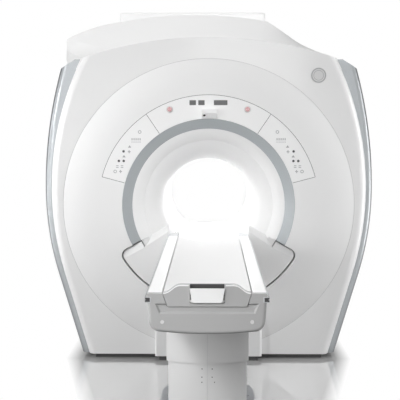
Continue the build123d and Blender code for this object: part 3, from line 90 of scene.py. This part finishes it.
# The floor fades to white beyond a distance beside the mid plane, which widens with the depth up
# to the gantry's front, and beyond a distance along it
FADE_ASIDE = 0.78
FADE_WIDENING = 0.2
FADE_ALONG = 2.1
FADE_WIDTH = 0.1

# Noise in the materials: scale and detail, for brushed lines also roughness
DRIFT = (0.9, 1.0)
WIPE = (3.0, 2.0)
FROST = (300.0, 2.0)
GRAIN = (900.0, 2.0)
FLAKES = (2600.0, 1.0)
LINES = (1.0, 3.0, 0.6)

# The range of each noise over which it has its effect
DRIFT_RANGE = (0.1, 0.9)
WIPE_RANGE = (0.2, 0.8)
FROST_RANGE = (0.3, 0.7)
GRAIN_RANGE = (0.35, 0.65)
FLAKES_RANGE = (0.4, 0.6)
FLAKES_GLOSS_RANGE = (0.3, 0.7)
LINES_RANGE = (0.3, 0.7)

# Its effect on the tone and on the roughness, as shares of the given colour and roughness
PAINT_TONES = (0.97, 1.03)
FLAKES_TONE = 0.9
LINES_TONE = 0.88
FROST_TONE = 0.95
WIPE_GLOSS = (0.95, 1.05)
FLAKES_GLOSS = (0.85, 1.15)
LINES_GLOSS = (0.8, 1.25)

# Painted shade: the side trims darken from their front plane to the back of their rolled edges
TRIM_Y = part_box("side_trim_left")[0][1]
TRIM_ROLL = 0.03
PAINTED_SHADE_TONE = 0.15

# The Mix node's colour sockets, by number because their names repeat
MIX_FIRST = 6
MIX_SECOND = 7
MIX_RESULT = 2

# Moulded plastic and lacquer: colour, roughness, gloss, and how far the tone drifts
MOULDED = (
    ("cover_white", (240, 240, 240), 0.3, 0.3, 0.015),
    ("surround_white", (240, 240, 240), 0.55, 0.0, 0.015),
    ("panel_white", (246, 246, 246), 0.4, 0.1, 0.015),
    ("liner_white", (248, 248, 248), 0.35, 0.1, 0.015),
    ("table_white", (250, 250, 250), 0.3, 0.3, 0.015),
    ("cradle_white", (230, 230, 230), 0.6, 0.0, 0.015),
    ("pedestal_white", (214, 214, 214), 0.4, 0.1, 0.015),
    ("dock_grey", (240, 240, 240), 0.35, 0.2, 0.015),
    ("bezel_grey", (220, 220, 220), 0.35, 0.2, 0.015),
    # Painted shade: end_grey is the table's white darkened for the shade on the table's end faces
    ("end_grey", (176, 176, 176), 0.35, 0.3, 0.015),
    ("base_grey", (150, 152, 156), 0.45, 0.1, 0.015),
    ("seal_grey", (200, 200, 200), 0.6, 0.0, 0.05),
    ("mark_grey", (176, 176, 178), 0.6, 0.0, 0.05),
    ("window_grey", (88, 88, 88), 0.3, 0.2, 0.08),
    ("key_grey", (78, 78, 82), 0.55, 0.0, 0.08),
    ("plinth_dark", (86, 86, 86), 0.5, 0.0, 0.015),
    ("rubber_dark", (62, 62, 62), 0.6, 0.0, 0.1),
    ("lens_dark", (52, 30, 34), 0.08, 0.8, 0.015),
    ("stop_red", (238, 208, 208), 0.35, 0.3, 0.05),
    ("mark_red", (208, 128, 134), 0.4, 0.0, 0.05),
    ("resin", (166, 142, 92), 0.45, 0.0, 0.015),
)

# Silver paint: colour, roughness, metal, and the depths between which painted shade darkens it
PAINTED = (
    ("trim_silver", (176, 180, 183), 0.4, 0.5, (TRIM_Y, TRIM_Y + TRIM_ROLL)),
    ("ring_silver", (172, 177, 180), 0.5, 0.3, None),
)

# Brushed metal: colour, roughness, and the scale of its lines along each axis
BRUSHED = (
    ("coil_copper", (200, 132, 92), 0.35, (4, 300, 4)),
    ("steel", (190, 192, 195), 0.35, (40, 8, 40)),
    ("rail_aluminium", (196, 198, 200), 0.32, (400, 3, 400)),
)

# Glowing strips: colour, roughness and strength
GLOWING = (("light_strip", (255, 255, 255), 0.5, 17.0),)

# Front and back of each added piece, measured from the face that it belongs to
BAND_MARK = (-0.0004, -0.00004)
STOP_MARK = (-0.0003, 0.0002)
BADGE_RING = (-0.0006, 0.0004)
RAIL_PLUG = (-0.001, 0.02)
POCKET_SHADE = (-0.001, -0.0001)
CAP_HIGHLIGHT = (-0.0005, -0.0001)
SEAL = (0.0012, 0.006)
SCREW_PLUG = (-0.0002, 0.0018)

# Control band: its face, radii, the angles of its seams in degrees, and its gaskets
BAND_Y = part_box("display_panel")[0][1]
BAND_INNER_R = 0.563
BAND_OUTER_R = 0.7145
BAND_SEAMS = (15, 55.7, 124.3, 165)
GASKET_HALF = 0.0014

# Symbols on the left keypad: kind, X, and rise above the bore's axis
KEY_SYMBOLS = (
    ("ring", -0.444489, 0.475545),
    ("arrow", -0.510483, 0.381083),
    ("cross", -0.513718, 0.348086),
    ("arrow", -0.547362, 0.317677),
    ("bars", -0.590711, 0.251683),
    ("bars", -0.560302, 0.251683),
    ("ring", -0.604945, 0.21998),
    ("cross", -0.570007, 0.21998),
)

# Their forms in shares of their size. A bar has a rise above the centre, a width and a height.
SYMBOL_SIZE = 0.011
SYMBOL_RING = 0.62
SYMBOL_ARROW = ((-1, -0.6), (1, -0.6), (0, 0.8))
SYMBOL_BARS = {
    "cross": ((0, 1.7, 0.5), (0.6, 0.5, 0.6), (-0.6, 0.5, 0.6)),
    "bars": ((0.5, 1.5, 0.4), (-0.5, 1.5, 0.4)),
}

# Scale on the left keypad: X, rise above the bore's axis, and the bars of each tick
SCALE_X = -0.468428
SCALE_RISE = 0.422491
TICKS = 5
TICK_PITCH = 0.013
TICK_BARS = ((0.006, 0.006, 0.014), (-0.012, 0.009, 0.004))

# Ring and bars on the stop buttons
STOP_RING_R = 0.0125
STOP_RING_INNER_R = 0.0095
STOP_BARS = ((0.002, 0.003, 0.013), (-0.007, 0.004, 0.003))

# Rings on the badge: how far their outer and inner edges lie inside its rim
BADGE_RINGS = ((0.003, 0.009), (0.017, 0.020))

# Sides of the round forms
RING_STEPS = 24
BADGE_STEPS = 64
SEAL_STEPS = 256
SCREW_PLUG_STEPS = 16

# End plugs of the accessory rails, measured inward from the rails' outline, and their notch
RAIL_PLUG_INNER = 0.022
RAIL_PLUG_OUTER = 0.001
RAIL_PLUG_MARGIN = 0.0025
NOTCH_DEPTH = 0.006
NOTCH_EDGE = 0.005
NOTCH_FOOT = 0.008

# Finger pocket in the cradle's end cap, and the dark plate of painted shade on its back wall
POCKET_HALF = 0.0755
POCKET_BACK_Y = -1.977
POCKET_SHADE_LOW_Z = 0.80
POCKET_SHADE_TOP_GAP = 0.0015
POCKET_SHADE_SIDE_GAP = 0.001

# Painted highlight along the waved top of the end cap, from beside the pocket to the cap's end.
# The wave is read from the cap's points near its front face, one height per step of the crest.
CAP_HIGHLIGHT_HEIGHT = 0.005
CAP_HIGHLIGHT_STEPS = 24
CAP_HIGHLIGHT_START_GAP = 0.004
CAP_HIGHLIGHT_END_GAP = 0.002
CREST_PITCH = 0.004
CREST_DEPTH = 0.0006

# Open seam around the domed surround, and the seal's slack in it
SURROUND_R = 0.95
SEAM_GAP = 0.0025
SEAL_SLACK = SEAM_GAP / 20

# Screw plugs in the lower pedestal cover, by X and Z, and the radius of its bowed front
SCREW_PLUGS = (
    (-0.026, 0.378), (0.0227, 0.378), (-0.0265, 0.338), (0.0227, 0.338), (-0.0265, 0.313),
    (0.0335, 0.313),
)
SCREW_PLUG_R = 0.0028
SCREW_PLUG_HOLE_R = SCREW_PLUG_R / 8
PEDESTAL_BOW_R = 0.296


def srgb(colour):
    """Linear colour from values of 0 to 255 as a screen shows them."""
    def linear(value):
        share = value / 255
        return share / 12.92 if share <= 0.04045 else ((share + 0.055) / 1.055) ** 2.4
    return tuple(linear(value) for value in colour) + (1.0,)


def shade(colour, factor):
    """A colour made lighter or darker."""
    return tuple(min(1.0, part * factor) for part in colour[:3]) + (1.0,)


def shares(value, factors):
    """A value times each factor."""
    return tuple(value * factor for factor in factors)


class Nodes:
    """A node tree under construction, with short calls for the nodes that it needs."""

    def __init__(self, tree):
        self.tree = tree

    def feed(self, value, socket):
        """Links a node's output to a socket, or sets the socket to a plain value."""
        if isinstance(value, bpy.types.NodeSocket):
            self.tree.links.new(value, socket)
        else:
            socket.default_value = value

    def fill(self, node, values):
        """Feeds the sockets of a node by name."""
        for name, value in values.items():
            self.feed(value, node.inputs[name.replace("_", " ")])

    def add(self, kind, **values):
        """A node with its sockets fed by name."""
        node = self.tree.nodes.new(kind)
        self.fill(node, values)
        return node

    def split(self, vector):
        """The parts of a vector, named X, Y and Z."""
        return self.add("ShaderNodeSeparateXYZ", Vector=vector).outputs

    def ramp(self, value, low, high, to_low, to_high):
        """A value moved from one range to another."""
        return self.add(
            "ShaderNodeMapRange",
            Value=value, From_Min=low, From_Max=high, To_Min=to_low, To_Max=to_high,
        ).outputs["Result"]

    def calculate(self, operation, *values):
        """The result of one operation."""
        node = self.add("ShaderNodeMath")
        node.operation = operation
        for value, socket in zip(values, node.inputs):
            self.feed(value, socket)
        return node.outputs[0]

    def blend(self, value, low, high, first, second):
        """Goes from one colour to another while a value goes from low to high."""
        node = self.add("ShaderNodeMix")
        node.data_type = "RGBA"
        self.feed(self.ramp(value, low, high, 0, 1), node.inputs["Factor"])
        self.feed(first, node.inputs[MIX_FIRST])
        self.feed(second, node.inputs[MIX_SECOND])
        return node.outputs[MIX_RESULT]

    def mix_shaders(self, factor, first, second):
        """Two shaders mixed by a value."""
        node = self.add("ShaderNodeMixShader")
        for value, socket in zip((factor, first, second), node.inputs):
            self.feed(value, socket)
        return node.outputs[0]


class Material(Nodes):
    """A material under construction around its main shader."""

    def __init__(self, name):
        self.material = bpy.data.materials.new(name)
        self.material.use_nodes = True
        super().__init__(self.material.node_tree)
        self.base = self.tree.nodes["Principled BSDF"]
        self.place = self.add("ShaderNodeTexCoord").outputs["Object"]

    def set(self, **values):
        """Feeds the main shader's sockets by name."""
        self.fill(self.base, values)

    def stretched(self, scale):
        """The object's coordinates, stretched along the axes."""
        return self.add("ShaderNodeMapping", Vector=self.place, Scale=scale).outputs["Vector"]

    def noise(self, scale, detail, roughness=0.5, place=None):
        """Even noise over the object."""
        return self.add(
            "ShaderNodeTexNoise",
            Vector=place or self.place, Scale=scale, Detail=detail, Roughness=roughness,
        ).outputs["Fac"]

    def bump(self, height, strength, distance):
        """Fine relief on the main shader."""
        relief = self.add("ShaderNodeBump", Height=height, Strength=strength, Distance=distance)
        self.set(Normal=relief.outputs["Normal"])


def moulded(name, colour, roughness, gloss, drift):
    """Moulded plastic or lacquer: slow drift of tone, fine grain, and slightly uneven gloss."""
    made = Material(name)
    colour = srgb(colour)
    slow = made.noise(*DRIFT)
    tone = made.blend(slow, *DRIFT_RANGE, shade(colour, 1 - drift), colour)
    fine = made.noise(*GRAIN)
    wipe = made.noise(*WIPE)
    made.set(
        Base_Color=made.blend(fine, *GRAIN_RANGE, shade(colour, 1 - drift / 2), tone),
        Roughness=made.ramp(wipe, *WIPE_RANGE, *shares(roughness, WIPE_GLOSS)),
        Coat_Weight=gloss,
        Coat_Roughness=0.08,
    )
    made.bump(fine, strength=0.08, distance=0.0002)
    return made.material


def painted(name, colour, roughness, metal, fade):
    """Silver paint: flakes under a clear coat. Painted shade can darken it between two depths."""
    made = Material(name)
    colour = srgb(colour)
    flakes = made.noise(*FLAKES)
    slow = made.noise(*DRIFT)
    tone = made.blend(slow, *DRIFT_RANGE, *[shade(colour, share) for share in PAINT_TONES])
    tone = made.blend(flakes, *FLAKES_RANGE, shade(colour, FLAKES_TONE), tone)
    # Painted shade: the colour darkens between the given depths
    if fade:
        tone = made.blend(made.split(made.place)["Y"], *fade, tone, shade(colour, PAINTED_SHADE_TONE))
    made.set(
        Base_Color=tone,
        Roughness=made.ramp(flakes, *FLAKES_GLOSS_RANGE, *shares(roughness, FLAKES_GLOSS)),
        Metallic=metal,
        Coat_Weight=0.3,
        Coat_Roughness=0.05,
    )
    made.bump(flakes, strength=0.05, distance=0.0001)
    return made.material


def brushed(name, colour, roughness, along):
    """Anodised or brushed metal with fine lines along one axis."""
    made = Material(name)
    colour = srgb(colour)
    lines = made.noise(*LINES, made.stretched(along))
    made.set(
        Base_Color=made.blend(lines, *LINES_RANGE, shade(colour, LINES_TONE), colour),
        Roughness=made.ramp(lines, *LINES_RANGE, *shares(roughness, LINES_GLOSS)),
        Metallic=1.0,
    )
    made.bump(lines, strength=0.1, distance=0.0001)
    return made.material


def glowing(name, colour, roughness, strength):
    """Frosted strip that glows."""
    made = Material(name)
    colour = srgb(colour)
    tone = made.blend(made.noise(*FROST), *FROST_RANGE, shade(colour, FROST_TONE), colour)
    made.set(
        Base_Color=tone, Roughness=roughness, Emission_Color=tone, Emission_Strength=strength
    )
    return made.material


MATERIALS = {}
for make, rows in ((moulded, MOULDED), (painted, PAINTED), (brushed, BRUSHED), (glowing, GLOWING)):
    for row in rows:
        MATERIALS[row[0]] = make(*row)
for part in frame["record"]["subparts"]:
    materials = nodes[part["node"]].data.materials
    materials.clear()
    materials.append(MATERIALS[part["material_slot"]])


def piece(name, shape, material, body):
    """Finishes a mesh as a piece that rides on a body of the frame."""
    mesh = bpy.data.meshes.new(name)
    shape.to_mesh(mesh)
    shape.free()
    mesh.materials.append(MATERIALS[material])
    made = bpy.data.objects.new(name, mesh)
    scene.collection.objects.link(made)
    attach(made, body)


def depths(face_y, offsets):
    """Depths of a piece's front and back."""
    return tuple(face_y + offset for offset in offsets)


def front_centre(low, high):
    """Middle of a box in X and Z."""
    return ((low[0] + high[0]) / 2, (low[2] + high[2]) / 2)


def plate(shape, outline, between):
    """Adds a flat plate with a given outline in X and Z, between two depths."""
    fore, rear = [[shape.verts.new((x, y, z)) for x, z in outline] for y in between]
    shape.faces.new(fore)
    shape.faces.new(rear[::-1])
    count = len(outline)
    for i in range(count):
        after = (i + 1) % count
        shape.faces.new((fore[i], rear[i], rear[after], fore[after]))


def round_ring(shape, centre, outer, inner, between, steps):
    """Adds a flat ring about an axis along Y, between two depths."""
    front, back = between
    loops = []
    for radius, y in ((outer, back), (outer, front), (inner, front), (inner, back)):
        turns = [2 * math.pi * i / steps for i in range(steps)]
        loops.append([
            shape.verts.new(
                (centre[0] + radius * math.cos(turn), y, centre[1] + radius * math.sin(turn))
            )
            for turn in turns
        ])
    for k in range(4):
        first, second = loops[k], loops[(k + 1) % 4]
        for i in range(steps):
            after = (i + 1) % steps
            shape.faces.new((first[i], first[after], second[after], second[i]))


def bars(shape, centre, rows, between, size=1.0):
    """Adds upright bars, each with a rise above the centre, a width and a height."""
    x = centre[0]
    for rise, width, height in rows:
        z = centre[1] + rise * size
        half, reach = width * size / 2, height * size / 2
        plate(
            shape,
            [(x - half, z - reach), (x + half, z - reach), (x + half, z + reach),
             (x - half, z + reach)],
            between,
        )


def symbol(shape, kind, centre, between):
    """Adds one plain key symbol: a ring, an arrow head, a cross or two bars."""
    if kind == "ring":
        inner = SYMBOL_SIZE * SYMBOL_RING
        round_ring(shape, centre, SYMBOL_SIZE, inner, between, RING_STEPS)
    elif kind == "arrow":
        outline = [
            (centre[0] + x * SYMBOL_SIZE, centre[1] + z * SYMBOL_SIZE) for x, z in SYMBOL_ARROW
        ]
        plate(shape, outline, between)
    else:
        bars(shape, centre, SYMBOL_BARS[kind], between, SYMBOL_SIZE)


def make_key_marks():
    """Printed symbols and a scale beside the keys, mirrored from the left keypad to the right."""
    between = depths(BAND_Y, BAND_MARK)
    for side, sign in (("left", 1), ("right", -1)):
        shape = bmesh.new()
        for kind, x, rise in KEY_SYMBOLS:
            symbol(shape, kind, (sign * x, ISO_Z + rise), between)
        for i in range(TICKS):
            x = sign * SCALE_X + (i - (TICKS - 1) / 2) * TICK_PITCH
            bars(shape, (x, ISO_Z + SCALE_RISE), TICK_BARS, between)
        piece(f"key_marks_{side}", shape, "mark_grey", "scanner")


def make_stop_marks():
    """A raised ring and bars on each stop button."""
    for side in ("right", "left"):
        low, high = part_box(f"stop_button_{side}")
        centre = front_centre(low, high)
        between = depths(low[1], STOP_MARK)
        shape = bmesh.new()
        round_ring(shape, centre, STOP_RING_R, STOP_RING_INNER_R, between, RING_STEPS)
        bars(shape, centre, STOP_BARS, between)
        piece(f"stop_mark_{side}", shape, "mark_red", f"stop_{side}")


def make_badge_rings():
    """Raised rings on the plain badge."""
    low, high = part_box("badge_disc")
    rim = (high[0] - low[0]) / 2
    shape = bmesh.new()
    for outer, inner in BADGE_RINGS:
        round_ring(
            shape, front_centre(low, high), rim - outer, rim - inner,
            depths(low[1], BADGE_RING), BADGE_STEPS,
        )
    piece("badge_rings", shape, "mark_grey", "scanner")


def make_rail_plugs():
    """Dark end plugs in the accessory rails, notched at the rail's mouth."""
    low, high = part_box("accessory_rails")
    bottom, top = low[2] + RAIL_PLUG_MARGIN, high[2] - RAIL_PLUG_MARGIN
    shape = bmesh.new()
    for sign in (1, -1):
        inner, outer = sign * (high[0] - RAIL_PLUG_INNER), sign * (high[0] - RAIL_PLUG_OUTER)
        notch = outer - sign * NOTCH_DEPTH
        outline = [
            (inner, bottom), (outer, bottom), (outer, bottom + NOTCH_EDGE),
            (notch, bottom + NOTCH_FOOT), (notch, top - NOTCH_FOOT),
            (outer, top - NOTCH_EDGE), (outer, top), (inner, top),
        ]
        plate(shape, outline, depths(low[1], RAIL_PLUG))
    piece("rail_plugs", shape, "rubber_dark", "table")


def make_band_seams():
    """Dark gaskets in the seams of the control band: along its outer edge and across it."""
    def at(radius, angle, offset=0.0):
        """Place on the band, moved sideways by an offset."""
        turn = math.radians(angle)
        return (
            radius * math.cos(turn) - offset * math.sin(turn),
            ISO_Z + radius * math.sin(turn) + offset * math.cos(turn),
        )

    between = depths(BAND_Y, BAND_MARK)
    low, high = BAND_OUTER_R - GASKET_HALF, BAND_OUTER_R + GASKET_HALF
    shape = bmesh.new()
    for angle in range(BAND_SEAMS[0], BAND_SEAMS[-1]):
        corners = ((low, angle), (high, angle), (high, angle + 1), (low, angle + 1))
        plate(shape, [at(*corner) for corner in corners], between)
    for angle in BAND_SEAMS:
        corners = (
            (BAND_INNER_R, angle, -GASKET_HALF), (BAND_OUTER_R, angle, -GASKET_HALF),
            (BAND_OUTER_R, angle, GASKET_HALF), (BAND_INNER_R, angle, GASKET_HALF),
        )
        plate(shape, [at(*corner) for corner in corners], between)
    piece("band_seams", shape, "window_grey", "scanner")


def make_pocket_painted_shade():
    """Painted shade: a dark plate on the finger pocket's back wall, above the release handle."""
    high_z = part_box("cradle_end_cap")[1][2] - POCKET_SHADE_TOP_GAP
    half = POCKET_HALF - POCKET_SHADE_SIDE_GAP
    outline = [(-half, POCKET_SHADE_LOW_Z), (half, POCKET_SHADE_LOW_Z), (half, high_z), (-half, high_z)]
    shape = bmesh.new()
    plate(shape, outline, depths(POCKET_BACK_Y, POCKET_SHADE))
    piece("pocket_painted_shade", shape, "rubber_dark", "cradle_board")


def make_cap_painted_highlight():
    """Painted highlight along the waved top of the cradle's end cap, which its front edge gives.
    """
    low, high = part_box("cradle_end_cap")
    crest = {}
    for point in nodes["cradle_end_cap"].data.vertices:
        if point.co.y < low[1] + CREST_DEPTH:
            place = round(abs(point.co.x) / CREST_PITCH)
            crest[place] = max(crest.get(place, 0.0), point.co.z)
    start = POCKET_HALF + CAP_HIGHLIGHT_START_GAP
    pitch = (high[0] - CAP_HIGHLIGHT_END_GAP - start) / CAP_HIGHLIGHT_STEPS
    shape = bmesh.new()
    for sign in (-1, 1):
        line = []
        for i in range(CAP_HIGHLIGHT_STEPS + 1):
            x = start + i * pitch
            place = x / CREST_PITCH
            before = max(k for k in crest if k <= place)
            after = min(k for k in crest if k >= place)
            share = (place - before) / (after - before) if after > before else 0.0
            line.append((sign * x, crest[before] * (1 - share) + crest[after] * share))
        for (x0, z0), (x1, z1) in zip(line, line[1:]):
            outline = [(x0, z0 - CAP_HIGHLIGHT_HEIGHT), (x1, z1 - CAP_HIGHLIGHT_HEIGHT), (x1, z1), (x0, z0)]
            plate(shape, outline, depths(low[1], CAP_HIGHLIGHT))
    piece("cap_painted_highlight", shape, "table_white", "cradle_board")


def make_surround_seal():
    """Soft grey seal in the open seam around the domed surround."""
    outer = SURROUND_R - SEAL_SLACK
    inner = SURROUND_R - SEAM_GAP + SEAL_SLACK
    shape = bmesh.new()
    round_ring(shape, (0.0, ISO_Z), outer, inner, depths(FRONT_Y, SEAL), SEAL_STEPS)
    piece("surround_seal", shape, "seal_grey", "scanner")


def make_pedestal_plugs():
    """Small screw plugs beside the seam of the lower pedestal cover, set on its bowed front."""
    crown_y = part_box("lower_pedestal_cover")[0][1]
    shape = bmesh.new()
    for x, z in SCREW_PLUGS:
        between = depths(crown_y + x * x / (2 * PEDESTAL_BOW_R), SCREW_PLUG)
        round_ring(shape, (x, z), SCREW_PLUG_R, SCREW_PLUG_HOLE_R, between, SCREW_PLUG_STEPS)
    piece("pedestal_plugs", shape, "rubber_dark", "scanner")


def make_floor():
    """Pale polished floor that mirrors the machine and fades into white away from it."""
    mesh = bpy.data.meshes.new("floor")
    corners = ((-1, -1), (1, -1), (1, 1), (-1, 1))
    mesh.from_pydata([(x * FLOOR_HALF, y * FLOOR_HALF, 0) for x, y in corners], [], [(0, 1, 2, 3)])
    floor = bpy.data.objects.new("floor", mesh)
    scene.collection.objects.link(floor)

    made = Material("floor")
    ray = made.add("ShaderNodeLightPath").outputs
    seen = ray["Is Camera Ray"]
    made.set(
        Base_Color=made.ramp(seen, 0, 1, FLOOR_BOUNCE_TONE, FLOOR_TONE), Roughness=FLOOR_ROUGHNESS
    )
    mirror = made.add("ShaderNodeBsdfAnisotropic", Color=MIRROR_TONE, Roughness=MIRROR_ROUGHNESS)
    polish = made.ramp(seen, 0, 1, 0, FLOOR_POLISH)
    polished = made.mix_shaders(polish, made.base.outputs[0], mirror.outputs[0])

    axes = made.split(made.place)
    depth = made.calculate("MINIMUM", axes["Y"], FRONT_Y)
    limit = made.calculate("ADD", made.calculate("MULTIPLY", depth, FADE_WIDENING), FADE_ASIDE)
    aside = made.calculate("SUBTRACT", made.calculate("ABSOLUTE", axes["X"]), limit)
    along = made.calculate("SUBTRACT", made.calculate("ABSOLUTE", axes["Y"]), FADE_ALONG)
    fade = made.ramp(made.calculate("MAXIMUM", aside, along), 0, FADE_WIDTH, 0, 1)

    # The white part shows in the camera and in gloss, and lights nothing.
    shine = made.calculate("MAXIMUM", seen, ray["Is Glossy Ray"])
    white = made.add("ShaderNodeEmission", Strength=shine)
    made.material.cycles.emission_sampling = "NONE"
    surface = made.mix_shaders(fade, polished, white.outputs[0])
    made.feed(surface, made.tree.nodes["Material Output"].inputs["Surface"])
    mesh.materials.append(made.material)


def make_world():
    """Even studio light. The camera sees a white backdrop, and gloss sees it darken rearward."""
    world = bpy.data.worlds.new("studio")
    scene.world = world
    world.use_nodes = True
    made = Nodes(world.node_tree)

    def background(strength):
        return made.add("ShaderNodeBackground", Color=(1, 1, 1, 1), Strength=strength).outputs[0]

    backdrop = background(1.0)
    direction = made.split(made.add("ShaderNodeTexCoord").outputs["Generated"])
    darker = made.ramp(direction["Y"], GLOSS_WHITE_Y, GLOSS_DARK_Y, 0, 1)
    mirrored = made.mix_shaders(darker, backdrop, background(GLOSS_DARK))
    ray = made.add("ShaderNodeLightPath").outputs
    shine = made.calculate("MAXIMUM", ray["Is Glossy Ray"], ray["Is Transmission Ray"])
    lit = made.mix_shaders(shine, background(AMBIENT), mirrored)
    seen = made.mix_shaders(ray["Is Camera Ray"], lit, backdrop)
    made.feed(seen, made.tree.nodes["World Output"].inputs["Surface"])


def make_lamps():
    """Soft rectangular lamps, each aimed at a point."""
    for name, place, target, size, spread, power in LAMPS:
        data = bpy.data.lights.new(name, "AREA")
        data.shape = "RECTANGLE"
        data.size, data.size_y = size
        data.spread = math.radians(spread)
        data.energy = power
        lamp = bpy.data.objects.new(name, data)
        lamp.location = place
        direction = Vector(target) - Vector(place)
        lamp.rotation_euler = direction.to_track_quat("-Z", "Y").to_euler()
        scene.collection.objects.link(lamp)


def make_camera():
    """Camera at the photograph's place and angle."""
    data = bpy.data.cameras.new("camera")
    data.lens = CAMERA_LENS
    data.clip_end = CAMERA_CLIP_END
    camera = bpy.data.objects.new("camera", data)
    camera.location = (CAMERA_X, FRONT_Y - CAMERA_BACK, CAMERA_Z)
    camera.rotation_euler = (math.radians(90 + CAMERA_PITCH), 0, math.radians(CAMERA_YAW))
    scene.collection.objects.link(camera)
    scene.camera = camera


make_key_marks()
make_stop_marks()
make_badge_rings()
make_rail_plugs()
make_band_seams()
make_pocket_painted_shade()
make_cap_painted_highlight()
make_surround_seal()
make_pedestal_plugs()
make_floor()
make_world()
make_lamps()
make_camera()

scene.view_settings.view_transform = "Standard"
